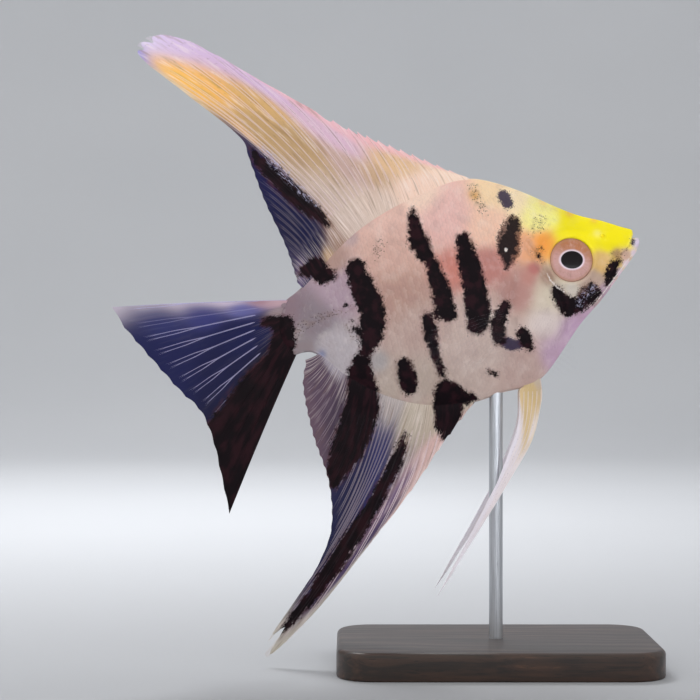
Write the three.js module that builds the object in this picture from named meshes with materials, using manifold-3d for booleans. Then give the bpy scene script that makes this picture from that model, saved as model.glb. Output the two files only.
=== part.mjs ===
// Marble angelfish (Pterophyllum scalare), life size, held over a plain base by one rod.
//
// Millimetres, +Z up. The fish looks along +X and its right flank faces -Y. The origin is the
// middle of the underside of the base, and the rod stands straight above it.
//
// The fish is shaped level, in its own terms: "back" runs from the tip of the lower lip towards
// the tail, "up" is the height over the axis that joins the lip to the root of the tail fin,
// and half widths are measured sideways from the plane of symmetry. The finished fish is then
// pitched nose up and lifted onto the rod.

import * as THREE from 'three';
import Module from 'manifold-3d';

const wasm = await Module();
wasm.setup();

// ---- stance and stand ----
const PITCH = THREE.MathUtils.degToRad(14);
const LIP_AHEAD_OF_ROD = 31.6;
const LIP_HEIGHT = 93.1;
const GAP = 0.3;
const BASE = { length: 70, width: 44, height: 6, corner: 8, bevel: 0.8, cornerSteps: 5 };
const ROD = { radius: 1.5, sides: 20, socketDepth: 4 };

// ---- outline of the body without its fins: [back, up] ----
const CROWN_LINE = [
  [0, 1.7], [0.9, 2.7], [3.4, 4.1], [7.4, 6.5], [11.4, 8.5], [15.3, 11.1], [22.9, 16.9], [28.8, 20.5],
  [33, 22.1], [38, 22.5], [47.5, 20.9], [54, 19.2], [59.7, 17], [64.8, 14.2], [69.7, 10.9],
  [74.4, 7.9], [78.6, 6.2], [82, 5.6],
];
const KEEL_LINE = [
  [0, -0.2], [0.9, -1.3], [2.3, -2.6], [5.7, -5.4], [11.4, -10.1], [16.9, -13.9], [22.8, -18.9],
  [27, -22.2], [30.8, -23.9], [37.6, -24.2], [42.5, -24.9], [48, -24.5], [53.4, -23.5], [59.5, -20.8],
  [65.3, -16.8], [70, -12.2], [74.4, -6.4], [76.8, -5.6], [79.6, -6.2], [82, -6.4],
];

// ---- half widths at mid height, along the back and along the keel: [back, half width] ----
const FLANK_HALF = [
  [0, 0.9], [0.6, 1.35], [1.5, 1.8], [3.5, 2.5], [7, 3.5], [12, 4.5], [16, 5], [22, 5.9], [28, 6.4],
  [34, 6.4], [44, 5.8], [54, 4.8], [64, 3.5], [72, 2.3], [82, 1.3],
];
const CREST_HALF = [[0, 0.6], [6, 0.7], [20, 0.8], [29, 1], [33, 1.2], [72, 1.2], [82, 0.95]];
const KEEL_HALF = [
  [0, 0.55], [6, 0.8], [18, 0.9], [25, 1.7], [29, 2.2], [33, 2.1], [38, 1.7], [43, 1.25], [72, 1.2],
  [82, 0.95],
];
const LENS_POWER = 2.1;
const LENS_FULLNESS = 0.9;
const EDGE_ROUNDING = 0.4;
const BELLY_BULGE = { back: 35, up: -13, length: 11, height: 8, swell: 0.5 };

// ---- lines that part the body: [back, up] ----
const MOUTH_CORNER = [2.5, -0.3];
const UPPER_LIP_EDGE = [1.2, 1.1];
const LOWER_LIP_EDGE = [0.55, 0.85];
const LOWER_LIP_FRONT = [0.1, -0.3];
const JAW_LINE = [MOUTH_CORNER, [4.6, -1.9], [7.6, -4.8], [10, -7.3], [11.8, -10.41]];
const CHEEK_LINE = [[23, -17.6], [20.6, -14.2], [20.2, -8.6], [21.3, -4], [22.6, 1.1], [24.4, 5.6]];
const GILL_EDGE = [
  [26.2, -21.7], [28.6, -19.5], [30.8, -16.6], [31.9, -12.5], [31.8, -8], [30.3, -3.3], [27.9, 2.4],
  [26.3, 7], [25.6, 12.5], [25.2, 18.3],
];
const GILL_COVER_SPAN = [0.05, 0.69];
const GILL_PLATE = { depth: 0.9, lift: 0.35, cutClear: 2 };
const STALK_FRONT = [[74.5, -6.3], [74.5, 7.8]];
const TAIL_ROOT = [[79.6, -6.2], [81.1, -3.1], [81.4, 0.3], [80.4, 3.5], [78.6, 6.2]];

// ---- face ----
const EYE = { back: 16.1, up: -0.3, radius: 4.75, bulge: 0.75, depth: 3.6, sink: 0.25, toeIn: 7, sides: 24 };
const EYE_RIM = { radius: 5.5, width: 0.9, height: 0.35 };
const LIP_ROLL = { height: 0.3, width: 0.7 };
const CHEEK_FOLD = { depth: 0.3, width: 0.8 };
const NOSTRIL = { back: 8, up: 3.1, radius: 0.5, depth: 0.7, sides: 8 };

// ---- fins: [ray number, tip back, tip up], with rays counted from the front or the top ----
const DORSAL = {
  rays: 33, spines: 12, rows: 8, from: 33.3, spineShare: 0.46, to: 74.2, rootHalf: 1.1, bow: 0.055, sway: 2,
  tips: [
    [0, 34.4, 23.6], [4, 43.9, 30.9], [8, 52.6, 37.3], [11, 59, 42.4], [13, 72, 54.5], [15, 85.2, 67],
    [16, 92.4, 70.4], [18, 97.2, 67.4], [20, 89.8, 57], [22, 79.8, 43.8], [23, 79, 38.6], [26, 77.9, 28.8],
    [29, 75.8, 18], [32, 75.2, 9.6],
  ],
};
const ANAL = {
  rays: 29, spines: 6, rows: 8, from: 43.9, spineShare: 0.24, to: 74.1, rootHalf: 1.1, bow: 0.05, sway: -2,
  tips: [
    [0, 44.4, -25.9], [3, 54, -33.8], [5, 61.9, -40.9], [7, 75.6, -51.6], [8, 89.5, -62], [9, 100.8, -68.3],
    [10, 100, -64.8], [11, 92, -57.6], [13, 86, -52], [15, 81.2, -45], [18, 79.2, -35],
    [22, 80, -24], [26, 79.6, -13], [28, 77.6, -7.4],
  ],
};
const TAIL = {
  rays: 16, spines: 0, rows: 8, rootHalf: 0.9, bow: 0.012, sway: 3,
  tips: [
    [0, 116.2, 14.2], [1, 115, 10], [3, 112.2, 4.2], [5, 109.1, -1.8], [7, 106, -7.6], [9, 102.8, -12.8],
    [11, 101.7, -19.5], [13, 101.8, -27.5], [15, 102.1, -36.2],
  ],
};
// lead: the longest ray's curve below its root; shares: how much of it each ray follows;
// spacing: how far apart neighbouring rays run at [share of the curve, distance]
const PELVIC = {
  rows: 12, from: 28.8, to: 32.5, rootHalf: 0.75, rootOut: 1.2, splay: 8, spine: 15,
  lead: [[30.7, -28.6], [34.3, -35.9], [40.9, -43.1], [48.9, -51.1], [56, -57.9], [62, -63.9]],
  shares: [0.9, 1, 0.86, 0.72, 0.53, 0.36],
  spacing: [
    [0, 0.72], [0.12, 0.95], [0.24, 0.82], [0.35, 0.75], [0.52, 0.54], [0.64, 0.44], [0.8, 0.36], [1, 0.32],
  ],
};
const PECTORAL = {
  rays: 11, rows: 6, root: [[33.5, -7.2], [34.2, -12.4]], length: 23, shortest: 0.45, longest: 0.3,
  fan: 15, rootHalf: 0.7, ridge: 0.12,
};
// how each pectoral fin is held: its length points [back, up, out], its edges spread [back, up, out]
const PECTORAL_HELD = {
  right: { along: [0.8, -0.28, 0.53], across: [0.3, 0.95, 0.02] },
  left: { along: [-0.6, -0.73, 0.34], across: [-0.76, 0.64, 0.06] },
};
const WEB_HALF = 0.27;
const RAY_RIDGE = 0.2;
const SHEATH_REACH = 7;
const SPINE_BEYOND_WEB = 1.1;
const SOFT_RAY_BEYOND_WEB = 0.5;

// ---- numbers along keyed lines ----

// value through [x, value, ...] keys, with the slope carried smoothly over each key
function smooth(keys, x, column = 1) {
  const last = keys.length - 1;
  let k = 0;
  while (k < last - 1 && x > keys[k + 1][0]) k += 1;
  const slope = (i) => {
    const [a, b] = [keys[Math.max(i - 1, 0)], keys[Math.min(i + 1, last)]];
    return (b[column] - a[column]) / (b[0] - a[0]);
  };
  const span = keys[k + 1][0] - keys[k][0];
  const t = THREE.MathUtils.clamp((x - keys[k][0]) / span, 0, 1);
  const rise = keys[k + 1][column] - keys[k][column];
  const bend = (slope(k) * span - rise) * (1 - t) + (rise - slope(k + 1) * span) * t;
  return keys[k][column] + rise * t + t * (1 - t) * bend;
}

const crown = (back) => smooth(CROWN_LINE, back);
const keel = (back) => smooth(KEEL_LINE, back);
const fade = (x, from, to) => 1 - THREE.MathUtils.smoothstep(x, from, to);
const hump = (x, width) => Math.exp(-((x / width) ** 2));
const mix = (a, b, t) => a.map((value, k) => value + (b[k] - value) * t);
const steps = (count, point) => Array.from({ length: count + 1 }, (_, i) => point(i / count));

// evenly spaced points along a smooth curve through [back, up] points
function along(points, count, from = 0, to = 1) {
  const curve = new THREE.SplineCurve(points.map(([back, up]) => new THREE.Vector2(back, up)));
  return steps(count, (t) => curve.getPointAt(from + (to - from) * t).toArray());
}

// the edge of the gill covers, carried from the throat up to the nape
function gillLine(count) {
  const line = along(GILL_EDGE, count);
  line[0][1] = keel(line[0][0]);
  line[count][1] = crown(line[count][0]);
  return line;
}

// points on an outline of the body, evenly spaced along the back
const onOutline = (line, from, to, count) =>
  steps(count, (t) => [from + (to - from) * t, line(from + (to - from) * t)]);

// the points of a line moved sideways, to the right of its own direction
function offset(points, distance) {
  return points.map((point, i) => {
    const before = points[Math.max(i - 1, 0)];
    const after = points[Math.min(i + 1, points.length - 1)];
    const run = [after[0] - before[0], after[1] - before[1]];
    const length = Math.hypot(...run);
    return [point[0] + (run[1] / length) * distance, point[1] - (run[0] / length) * distance];
  });
}

const distanceTo = (points, back, up) =>
  Math.min(...points.map((point) => Math.hypot(point[0] - back, point[1] - up)));

// ---- half width of the body at any place of its side view ----

const CHEEK_SAMPLES = along(CHEEK_LINE, 24);
const LIP_SAMPLES = [...steps(6, (t) => mix(UPPER_LIP_EDGE, MOUTH_CORNER, t)), LOWER_LIP_EDGE];

function halfWidth(back, up) {
  const [top, bottom] = [crown(back), keel(back)];
  const level = THREE.MathUtils.clamp((2 * up - top - bottom) / (top - bottom), -1, 1);
  const edge = smooth(level > 0 ? CREST_HALF : KEEL_HALF, back);
  const fullness = (1 - Math.abs(level) ** LENS_POWER) ** LENS_FULLNESS;
  const flank = edge + (smooth(FLANK_HALF, back) - edge) * fullness;
  const belly = Math.hypot((back - BELLY_BULGE.back) / BELLY_BULGE.length, (up - BELLY_BULGE.up) / BELLY_BULGE.height);
  const toEye = Math.hypot(back - EYE.back, up - EYE.up);
  const relief = BELLY_BULGE.swell * hump(belly, 1)
    + EYE_RIM.height * hump(toEye - EYE_RIM.radius, EYE_RIM.width)
    + LIP_ROLL.height * hump(distanceTo(LIP_SAMPLES, back, up), LIP_ROLL.width)
    - CHEEK_FOLD.depth * hump(distanceTo(CHEEK_SAMPLES, back, up), CHEEK_FOLD.width);
  return flank + relief * Math.min(1, 1.6 * fullness);
}

// ---- closed bodies from paired points ----

// Closes a grid of point pairs, one point on each face, into one body. Both faces are split
// into triangles alike, and points that fall together are made one.
function closedSheet(pairs) {
  const [rows, columns] = [pairs.length, pairs[0].length];
  const position = [];
  const found = new Map();
  const vertex = (point) => {
    const key = point.map((value) => Math.round(value * 1000)).join();
    if (!found.has(key)) {
      found.set(key, position.length / 3);
      position.push(...point);
    }
    return found.get(key);
  };
  const grid = pairs.map((row) => row.map((pair) => pair.map(vertex)));
  const index = [];
  const triangle = (a, b, c) => {
    if (a !== b && b !== c && c !== a) index.push(a, b, c);
  };
  const quad = (a, b, c, d) => {
    triangle(a, b, c);
    triangle(a, c, d);
  };
  for (let i = 0; i < rows - 1; i += 1) {
    for (let j = 0; j < columns - 1; j += 1) {
      const [a, b, c, d] = [grid[i][j], grid[i + 1][j], grid[i + 1][j + 1], grid[i][j + 1]];
      quad(a[0], b[0], c[0], d[0]);
      quad(a[1], d[1], c[1], b[1]);
    }
  }
  const rim = [
    ...steps(columns - 1, (t) => [0, Math.round(t * (columns - 1))]),
    ...steps(rows - 1, (t) => [Math.round(t * (rows - 1)), columns - 1]),
    ...steps(columns - 1, (t) => [rows - 1, Math.round((1 - t) * (columns - 1))]),
    ...steps(rows - 1, (t) => [Math.round((1 - t) * (rows - 1)), 0]),
  ].map(([i, j]) => grid[i][j]);
  rim.forEach((pair, k) => {
    const next = rim[(k + 1) % rim.length];
    quad(pair[0], next[0], next[1], pair[1]);
  });
  return facingOut(position, index);
}

// geometry of a closed mesh, turned so that its faces point out
function facingOut(position, index) {
  let volume = 0;
  const at = (i) => new THREE.Vector3().fromArray(position, index[i] * 3);
  for (let i = 0; i < index.length; i += 3) volume += at(i).dot(at(i + 1).cross(at(i + 2)));
  const geometry = new THREE.BufferGeometry();
  geometry.setAttribute('position', new THREE.Float32BufferAttribute(position, 3));
  geometry.setIndex(volume < 0 ? [...index].reverse() : index);
  return geometry;
}

const atSide = (back, side, up) => [-back, side, up];

// ---- flesh: pieces of the body between lines of its side view ----

// grid of [back, up] points between four sides, each given as a list of points
function patch(bottom, top, front, rear) {
  const [rows, columns] = [bottom.length - 1, front.length - 1];
  return bottom.map((low, i) => front.map((fore, j) => {
    const [t, s] = [i / rows, j / columns];
    return [0, 1].map((k) => (1 - s) * low[k] + s * top[i][k] + (1 - t) * fore[k] + t * rear[j][k]
      - (1 - t) * ((1 - s) * bottom[0][k] + s * top[0][k])
      - t * ((1 - s) * bottom[rows][k] + s * top[rows][k]));
  }));
}

// a ridge point just beyond the edge of a patch, where both flanks meet
function ridgePoint(edge, inside, rounding) {
  const run = [edge[0] - inside[0], edge[1] - inside[1]];
  const reach = (halfWidth(...edge) * rounding) / Math.hypot(...run);
  return [edge[0] + run[0] * reach, edge[1] + run[1] * reach, 0];
}

// closes a patch into the slice of the body that stands on it; bottomRound and topRound say how
// far each edge is rounded at a place, and noseRound whether the front edge is
function fleshSlice(grid, { bottomRound, topRound, noseRound = 0 }) {
  const stations = grid.map((row) => {
    const points = row.map(([back, up]) => [back, up, halfWidth(back, up)]);
    const last = row.length - 1;
    return [
      ridgePoint(row[0], row[1], bottomRound(row[0])),
      ...points,
      ridgePoint(row[last], row[last - 1], topRound(row[last])),
    ];
  });
  if (noseRound) stations.unshift(stations[0].map(([back, up]) => [back - noseRound, up, 0]));
  return closedSheet(stations.map((row) => row.map(
    ([back, up, half]) => [atSide(back, -half, up), atSide(back, half, up)],
  )));
}

const roundBefore = (start) => ([back]) => (back < start ? EDGE_ROUNDING : 0);
const sharp = () => 0;

function headGeometry() {
  const rows = 14;
  const lip = steps(2, (t) => mix(UPPER_LIP_EDGE, MOUTH_CORNER, t));
  const jaw = along(JAW_LINE, 4).slice(1);
  const chin = onOutline(keel, JAW_LINE[4][0], GILL_EDGE[0][0], 10).slice(1);
  const under = [...lip, ...jaw, ...chin];
  const over = onOutline(crown, 0.9, GILL_EDGE[9][0], under.length - 1);
  const front = steps(rows, (t) => mix(under[0], over[0], t));
  const rear = gillLine(rows);
  const chinStart = JAW_LINE[4][0];
  return fleshSlice(patch(under, over, front, rear), {
    bottomRound: ([back, up]) => (back > chinStart && up < keel(back) + 0.1 ? EDGE_ROUNDING : 0),
    topRound: () => EDGE_ROUNDING,
    noseRound: 0.4,
  });
}

function lowerJawGeometry() {
  const rows = 4;
  const inner = [LOWER_LIP_EDGE, ...offset(along(JAW_LINE, 10), GAP)];
  const outer = [LOWER_LIP_FRONT, ...onOutline(keel, 0.7, inner[11][0] - 0.35, 10)];
  const front = steps(rows, (t) => mix(outer[0], inner[0], t));
  const rear = steps(rows, (t) => mix(outer[11], inner[11], t));
  return fleshSlice(patch(outer, inner, front, rear), {
    bottomRound: () => EDGE_ROUNDING,
    topRound: sharp,
    noseRound: 0.3,
  });
}

function trunkGeometry() {
  const [length, rows] = [18, 14];
  const front = offset(gillLine(rows), GAP);
  front[0][1] = keel(front[0][0]);
  front[rows][1] = crown(front[rows][0]);
  const rear = steps(rows, (t) => mix(...STALK_FRONT, t).map((value, k) => value - (k ? 0 : GAP)));
  rear[0][1] = keel(rear[0][0]);
  rear[rows][1] = crown(rear[rows][0]);
  const under = onOutline(keel, front[0][0], rear[0][0], length);
  const over = onOutline(crown, front[rows][0], rear[rows][0], length);
  return fleshSlice(patch(under, over, front, rear), {
    bottomRound: roundBefore(PELVIC.from - 1.5),
    topRound: roundBefore(DORSAL.from - 0.4),
  });
}

function tailStalkGeometry() {
  const [length, rows] = [4, 8];
  const front = steps(rows, (t) => mix(...STALK_FRONT, t));
  const rear = along(TAIL_ROOT, rows);
  const under = onOutline(keel, front[0][0], rear[0][0], length);
  const over = onOutline(crown, front[rows][0], rear[rows][0], length);
  front[0][1] = under[0][1];
  front[rows][1] = over[0][1];
  rear[0][1] = under[length][1];
  rear[rows][1] = over[length][1];
  return fleshSlice(patch(under, over, front, rear), {
    bottomRound: () => EDGE_ROUNDING,
    topRound: () => EDGE_ROUNDING,
  });
}

// plate over the gills of one side (1 left, -1 right), or with a clearance the room cut for it
function gillCoverGeometry(side, clearance = 0) {
  const [across, rows] = [6, 10];
  const [from, to] = GILL_COVER_SPAN;
  const reach = clearance ? 0.02 : 0;
  const front = offset(along(CHEEK_LINE, rows), -clearance);
  const rear = offset(along(GILL_EDGE, rows, from - reach, to + reach), clearance * 4);
  const bottom = steps(across, (t) => mix(front[0], rear[0], t));
  const top = steps(across, (t) => mix(front[rows], rear[rows], t));
  const grid = patch(bottom, top, front, rear);
  return closedSheet(grid.map((row, i) => row.map(([back, up]) => {
    const surface = halfWidth(back, up);
    const outer = surface + (clearance ? GILL_PLATE.cutClear : GILL_PLATE.lift * (i / across) ** 2);
    const inner = surface - GILL_PLATE.depth - clearance;
    return [atSide(back, side * outer, up), atSide(back, side * inner, up)];
  })));
}

// ---- eyes and nostrils ----

const onFlank = ({ back, up }, side, lift) => {
  const place = new THREE.Object3D();
  place.position.set(...atSide(back, side * (halfWidth(back, up) + lift), up));
  return place;
};

// a turned form standing on the flank: its own axis points out of the body
function turned(profile, sides, place, side, toeIn = 0) {
  const geometry = new THREE.LatheGeometry(profile.map(([x, y]) => new THREE.Vector2(x, y)), sides);
  if (side < 0) geometry.rotateX(Math.PI);
  geometry.rotateZ(-side * THREE.MathUtils.degToRad(toeIn));
  place.updateMatrix();
  return geometry.applyMatrix4(place.matrix);
}

function eyeGeometry(side, clearance = 0) {
  const radius = EYE.radius + clearance;
  const depth = -EYE.depth - clearance;
  const front = clearance ? 3 : 0;
  const profile = [
    [0, depth], [radius * 0.62, depth], [radius * 0.93, depth * 0.55], [radius, front],
    [radius * 0.86, front + EYE.bulge * 0.55], [radius * 0.5, front + EYE.bulge * 0.92], [0, front + EYE.bulge],
  ];
  return turned(profile, EYE.sides, onFlank(EYE, side, -EYE.sink), side, EYE.toeIn);
}

function nostrilGeometry(side) {
  const { radius, depth, sides } = NOSTRIL;
  const profile = [[0, -depth], [radius * 0.6, -depth], [radius * 1.3, depth], [0, depth]];
  return turned(profile, sides, onFlank(NOSTRIL, side, 0), side);
}

// ---- fins ----

// Closes a fan of rays into one body. The web between two rays lies halfway between them and
// stops short of their tips. The rays are ridges raised in both faces over their own stiff length.
function rayFan({ rays, rows, rootHalf, reach, thickness, rootThickness = thickness, ridge = RAY_RIDGE }) {
  const columns = rays.flatMap((ray, i) => {
    const crest = { ...ray, raised: ridge };
    const next = rays[i + 1];
    if (!next) return [crest];
    const length = (ray.length + next.length) / 2;
    const short = Math.min(0.25, Math.min(ray.beyond, next.beyond) / length);
    const middle = (t) => ray.at(t * (1 - short)).lerp(next.at(t * (1 - short)), 0.5);
    return [crest, { at: middle, length, stiff: length, raised: 0 }];
  });
  return closedSheet(steps(rows, (step) => step).map((step) => columns.map(({ at, length, stiff, raised }) => {
    const t = step ** 1.2;
    const distance = t * length;
    const swell = fade(distance, 0, reach);
    const held = stiff < length ? fade(distance, stiff * 0.8, stiff * 1.2) : 1;
    const crest = raised * held * (1 - swell) * (1 - 0.5 * t);
    const half = (WEB_HALF + (rootHalf - WEB_HALF) * swell + crest) * (1 - 0.3 * t ** 4);
    const direction = step === 0 ? rootThickness : thickness;
    const middle = at(t);
    return [1, -1].map((face) => middle.clone().addScaledVector(direction, face * half).toArray());
  })));
}

// a ray from root to tip, bowed by a vector
function makeRay(root, tip, bow, beyond) {
  const length = root.distanceTo(tip);
  const at = (t) => root.clone().lerp(tip, t).addScaledVector(bow, 4 * t * (1 - t));
  return { at, length, stiff: length, beyond };
}

// a fin in the plane of symmetry, its roots given as [back, up] points in order
function medianFin(fin, roots, bowSide) {
  const rays = roots.map(([back, up], i) => {
    const [tipBack, tipUp] = [smooth(fin.tips, i, 1), smooth(fin.tips, i, 2)];
    const length = Math.hypot(tipBack - back, tipUp - up);
    const lean = fin.sway * (length / 60) ** 2;
    const bow = [(tipUp - up) * fin.bow * bowSide, 0, (tipBack - back) * fin.bow * bowSide];
    return makeRay(
      new THREE.Vector3(...atSide(back, 0, up)),
      new THREE.Vector3(...atSide(tipBack, lean, tipUp)),
      new THREE.Vector3(...bow),
      i < fin.spines ? SPINE_BEYOND_WEB : SOFT_RAY_BEYOND_WEB,
    );
  });
  const { rows, rootHalf } = fin;
  return rayFan({ rays, rows, rootHalf, reach: SHEATH_REACH, thickness: new THREE.Vector3(0, 1, 0) });
}

// roots spread along an outline of the body, the spines over their own share of it
function outlineRoots(fin, line, side) {
  const outline = offset(onOutline(line, fin.from, fin.to, 80), side * GAP);
  const shares = Array.from({ length: fin.rays }, (_, i) => (i < fin.spines
    ? (fin.spineShare * i) / (fin.spines - 1)
    : fin.spineShare + ((1 - fin.spineShare) * (i - fin.spines + 1)) / (fin.rays - fin.spines)));
  const curve = new THREE.SplineCurve(outline.map((point) => new THREE.Vector2(...point)));
  return shares.map((share) => curve.getPointAt(share).toArray());
}

const dorsalGeometry = () => medianFin(DORSAL, outlineRoots(DORSAL, crown, -1), 1);
const analGeometry = () => medianFin(ANAL, outlineRoots(ANAL, keel, 1), -1);
const tailGeometry = () => medianFin(TAIL, offset(along(TAIL_ROOT, TAIL.rays - 1), GAP).reverse(), 0.5);

// every ray follows the second and longest one's curve, side by side below their own roots; the
// first is a short spine with a fringe of web beyond it
function pelvicGeometry(side) {
  const tilt = THREE.MathUtils.degToRad(PELVIC.splay);
  const roots = offset(onOutline(keel, PELVIC.from, PELVIC.to, PELVIC.shares.length - 1), GAP);
  const lead = new THREE.SplineCurve([roots[1], ...PELVIC.lead].map((point) => new THREE.Vector2(...point)));
  const rays = roots.map((root, i) => {
    const share = PELVIC.shares[i];
    const fromLead = new THREE.Vector2(root[0] - roots[1][0], root[1] - roots[1][1]);
    const at = (t) => {
      const nearRoot = fade(t * share, 0, 0.1);
      const heading = lead.getTangent(t * share);
      const behind = (i - 1) * smooth(PELVIC.spacing, t * share) * (1 - nearRoot);
      const point = lead.getPoint(t * share).addScaledVector(fromLead, nearRoot);
      point.add(new THREE.Vector2(-heading.y, heading.x).multiplyScalar(behind));
      const out = PELVIC.rootOut + (root[1] - point.y) * Math.tan(tilt);
      return new THREE.Vector3(...atSide(point.x, side * out, point.y));
    };
    const length = lead.getLength() * share;
    return { at, length, stiff: i === 0 ? PELVIC.spine : length, beyond: SOFT_RAY_BEYOND_WEB };
  });
  const { rows, rootHalf } = PELVIC;
  const thickness = new THREE.Vector3(0, Math.cos(tilt), side * Math.sin(tilt));
  const rootThickness = new THREE.Vector3(0, 1, 0);
  return rayFan({ rays, rows, rootHalf, reach: SHEATH_REACH, thickness, rootThickness });
}

function pectoralGeometry(side, { along: lengthwise, across }) {
  const toBody = ([back, up, out]) => new THREE.Vector3(...atSide(back, side * out, up)).normalize();
  const [axis, spread] = [toBody(lengthwise), toBody(across)];
  const fan = THREE.MathUtils.degToRad(PECTORAL.fan);
  const rays = steps(PECTORAL.rays - 1, (share) => {
    const [back, up] = mix(...PECTORAL.root, share);
    const root = new THREE.Vector3(...atSide(back, side * (halfWidth(back, up) + GAP + 0.1), up));
    const angle = fan * (1 - 2 * share);
    const aside = Math.abs(share - PECTORAL.longest) / (1 - PECTORAL.longest);
    const length = PECTORAL.length * (1 - (1 - PECTORAL.shortest) * aside ** 1.5);
    const heading = axis.clone().multiplyScalar(Math.cos(angle)).addScaledVector(spread, Math.sin(angle));
    return makeRay(root, root.clone().addScaledVector(heading, length), new THREE.Vector3(), 0.3);
  });
  const thickness = axis.clone().cross(spread).normalize();
  const rootThickness = new THREE.Vector3(1, 0, 0).multiplyScalar(Math.sign(thickness.x));
  const { rows, rootHalf, ridge } = PECTORAL;
  return rayFan({ rays, rows, rootHalf, ridge, reach: 3, thickness, rootThickness });
}

// ---- cuts and joins ----

function toSolid(geometry) {
  const bare = geometry.clone();
  const source = bare.getAttribute('position').array;
  const found = new Map();
  const position = [];
  const merged = Array.from({ length: source.length / 3 }, (_, i) => {
    const point = Array.from(source.slice(i * 3, i * 3 + 3));
    const key = point.map((value) => Math.round(value * 1e4)).join();
    if (!found.has(key)) {
      found.set(key, position.length / 3);
      position.push(...point);
    }
    return found.get(key);
  });
  const corners = bare.index ? Array.from(bare.index.array, (i) => merged[i]) : merged;
  const index = [];
  for (let i = 0; i < corners.length; i += 3) {
    const [a, b, c] = corners.slice(i, i + 3);
    if (a !== b && b !== c && c !== a) index.push(a, b, c);
  }
  const faced = facingOut(position, index);
  return new wasm.Manifold(new wasm.Mesh({
    numProp: 3,
    vertProperties: new Float32Array(faced.getAttribute('position').array),
    triVerts: new Uint32Array(faced.index.array),
  }));
}

// geometry of the largest closed piece of a solid
function toGeometry(solid) {
  const largest = solid.decompose().reduce((a, b) => (b.volume() > a.volume() ? b : a));
  const mesh = largest.getMesh();
  return facingOut(Array.from(mesh.vertProperties), Array.from(mesh.triVerts));
}

const cut = (geometry, ...tools) =>
  toGeometry(tools.reduce((solid, tool) => solid.subtract(toSolid(tool)), toSolid(geometry)));

// ---- stand ----

function baseGeometry() {
  const { length, width, height, corner, bevel, cornerSteps } = BASE;
  const [x, y] = [length / 2 - bevel, width / 2 - bevel];
  const radius = corner - bevel;
  const shape = new THREE.Shape();
  shape.moveTo(x, y - radius);
  shape.absarc(x - radius, y - radius, radius, 0, Math.PI / 2);
  shape.absarc(-x + radius, y - radius, radius, Math.PI / 2, Math.PI);
  shape.absarc(-x + radius, -y + radius, radius, Math.PI, 1.5 * Math.PI);
  shape.absarc(x - radius, -y + radius, radius, 1.5 * Math.PI, 2 * Math.PI);
  const slab = new THREE.ExtrudeGeometry(shape, {
    depth: height - 2 * bevel, bevelSize: bevel, bevelThickness: bevel, bevelSegments: 1, curveSegments: cornerSteps,
  });
  slab.translate(0, 0, bevel);
  const socket = new THREE.CylinderGeometry(ROD.radius + GAP, ROD.radius + GAP, 2 * ROD.socketDepth, ROD.sides);
  socket.rotateX(Math.PI / 2).translate(0, 0, height);
  return cut(slab, socket);
}

// height of the belly over the floor, straight above a place along the base
function bellyHeight(ahead) {
  const place = (back) => {
    const up = keel(back);
    const [cos, sin] = [Math.cos(PITCH), Math.sin(PITCH)];
    return [LIP_AHEAD_OF_ROD - back * cos - up * sin, LIP_HEIGHT - back * sin + up * cos];
  };
  let [low, high] = [PELVIC.to, ANAL.from];
  for (let i = 0; i < 30; i += 1) {
    const middle = (low + high) / 2;
    if (place(middle)[0] > ahead) low = middle;
    else high = middle;
  }
  return place(low)[1];
}

// the rod ends just under the belly, cut to its slope
function rodGeometry() {
  const foot = BASE.height - ROD.socketDepth + GAP;
  const head = bellyHeight(0);
  const rod = new THREE.CylinderGeometry(ROD.radius, ROD.radius, head - foot, ROD.sides);
  rod.rotateX(Math.PI / 2).translate(0, 0, (head + foot) / 2);
  const points = rod.getAttribute('position');
  const slope = (bellyHeight(ROD.radius) - bellyHeight(-ROD.radius)) / (2 * ROD.radius);
  for (let i = 0; i < points.count; i += 1) {
    if (points.getZ(i) > foot + 1) points.setZ(i, head - GAP + slope * points.getX(i));
  }
  return toGeometry(toSolid(rod));
}

// ---- materials ----

const finish = (color, roughness, metalness = 0) =>
  new THREE.MeshStandardMaterial({ color, roughness, metalness });
const gold = finish('#e8c53a', 0.35);
const pearl = finish('#d9cdb4', 0.38);
const flank = finish('#cdb9a4', 0.4);
const eyeFinish = finish('#8f7a72', 0.12);
const rosyFin = finish('#d2ac98', 0.45);
const smokyFin = finish('#4a4858', 0.45);
const clearFin = finish('#a9b3cf', 0.4);
const pelvicFinish = finish('#e9dcc0', 0.4);
const baseFinish = finish('#2b2622', 0.35);
const steel = finish('#b9bcc0', 0.25, 1);

// ---- assembly ----

const fish = new THREE.Group();
const stand = new THREE.Group();

function add(parent, name, geometry, material) {
  const mesh = new THREE.Mesh(geometry, material);
  mesh.name = name;
  parent.add(mesh);
}

const SIDES = { right: -1, left: 1 };
const headRoom = Object.values(SIDES).flatMap((side) => [
  gillCoverGeometry(side, GAP), eyeGeometry(side, GAP), nostrilGeometry(side),
]);
add(fish, 'head', cut(headGeometry(), ...headRoom), gold);
add(fish, 'lower_jaw', lowerJawGeometry(), pearl);
add(fish, 'trunk', trunkGeometry(), flank);
add(fish, 'tail_stalk', tailStalkGeometry(), flank);
add(fish, 'dorsal_fin', dorsalGeometry(), rosyFin);
add(fish, 'anal_fin', analGeometry(), rosyFin);
add(fish, 'tail_fin', tailGeometry(), smokyFin);
for (const [name, side] of Object.entries(SIDES)) {
  add(fish, `gill_cover_${name}`, gillCoverGeometry(side), pearl);
  add(fish, `eye_${name}`, toGeometry(toSolid(eyeGeometry(side))), eyeFinish);
  add(fish, `pectoral_fin_${name}`, pectoralGeometry(side, PECTORAL_HELD[name]), clearFin);
  add(fish, `pelvic_fin_${name}`, pelvicGeometry(side), pelvicFinish);
}
fish.rotation.y = -PITCH;
fish.position.set(LIP_AHEAD_OF_ROD, 0, LIP_HEIGHT);

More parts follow.
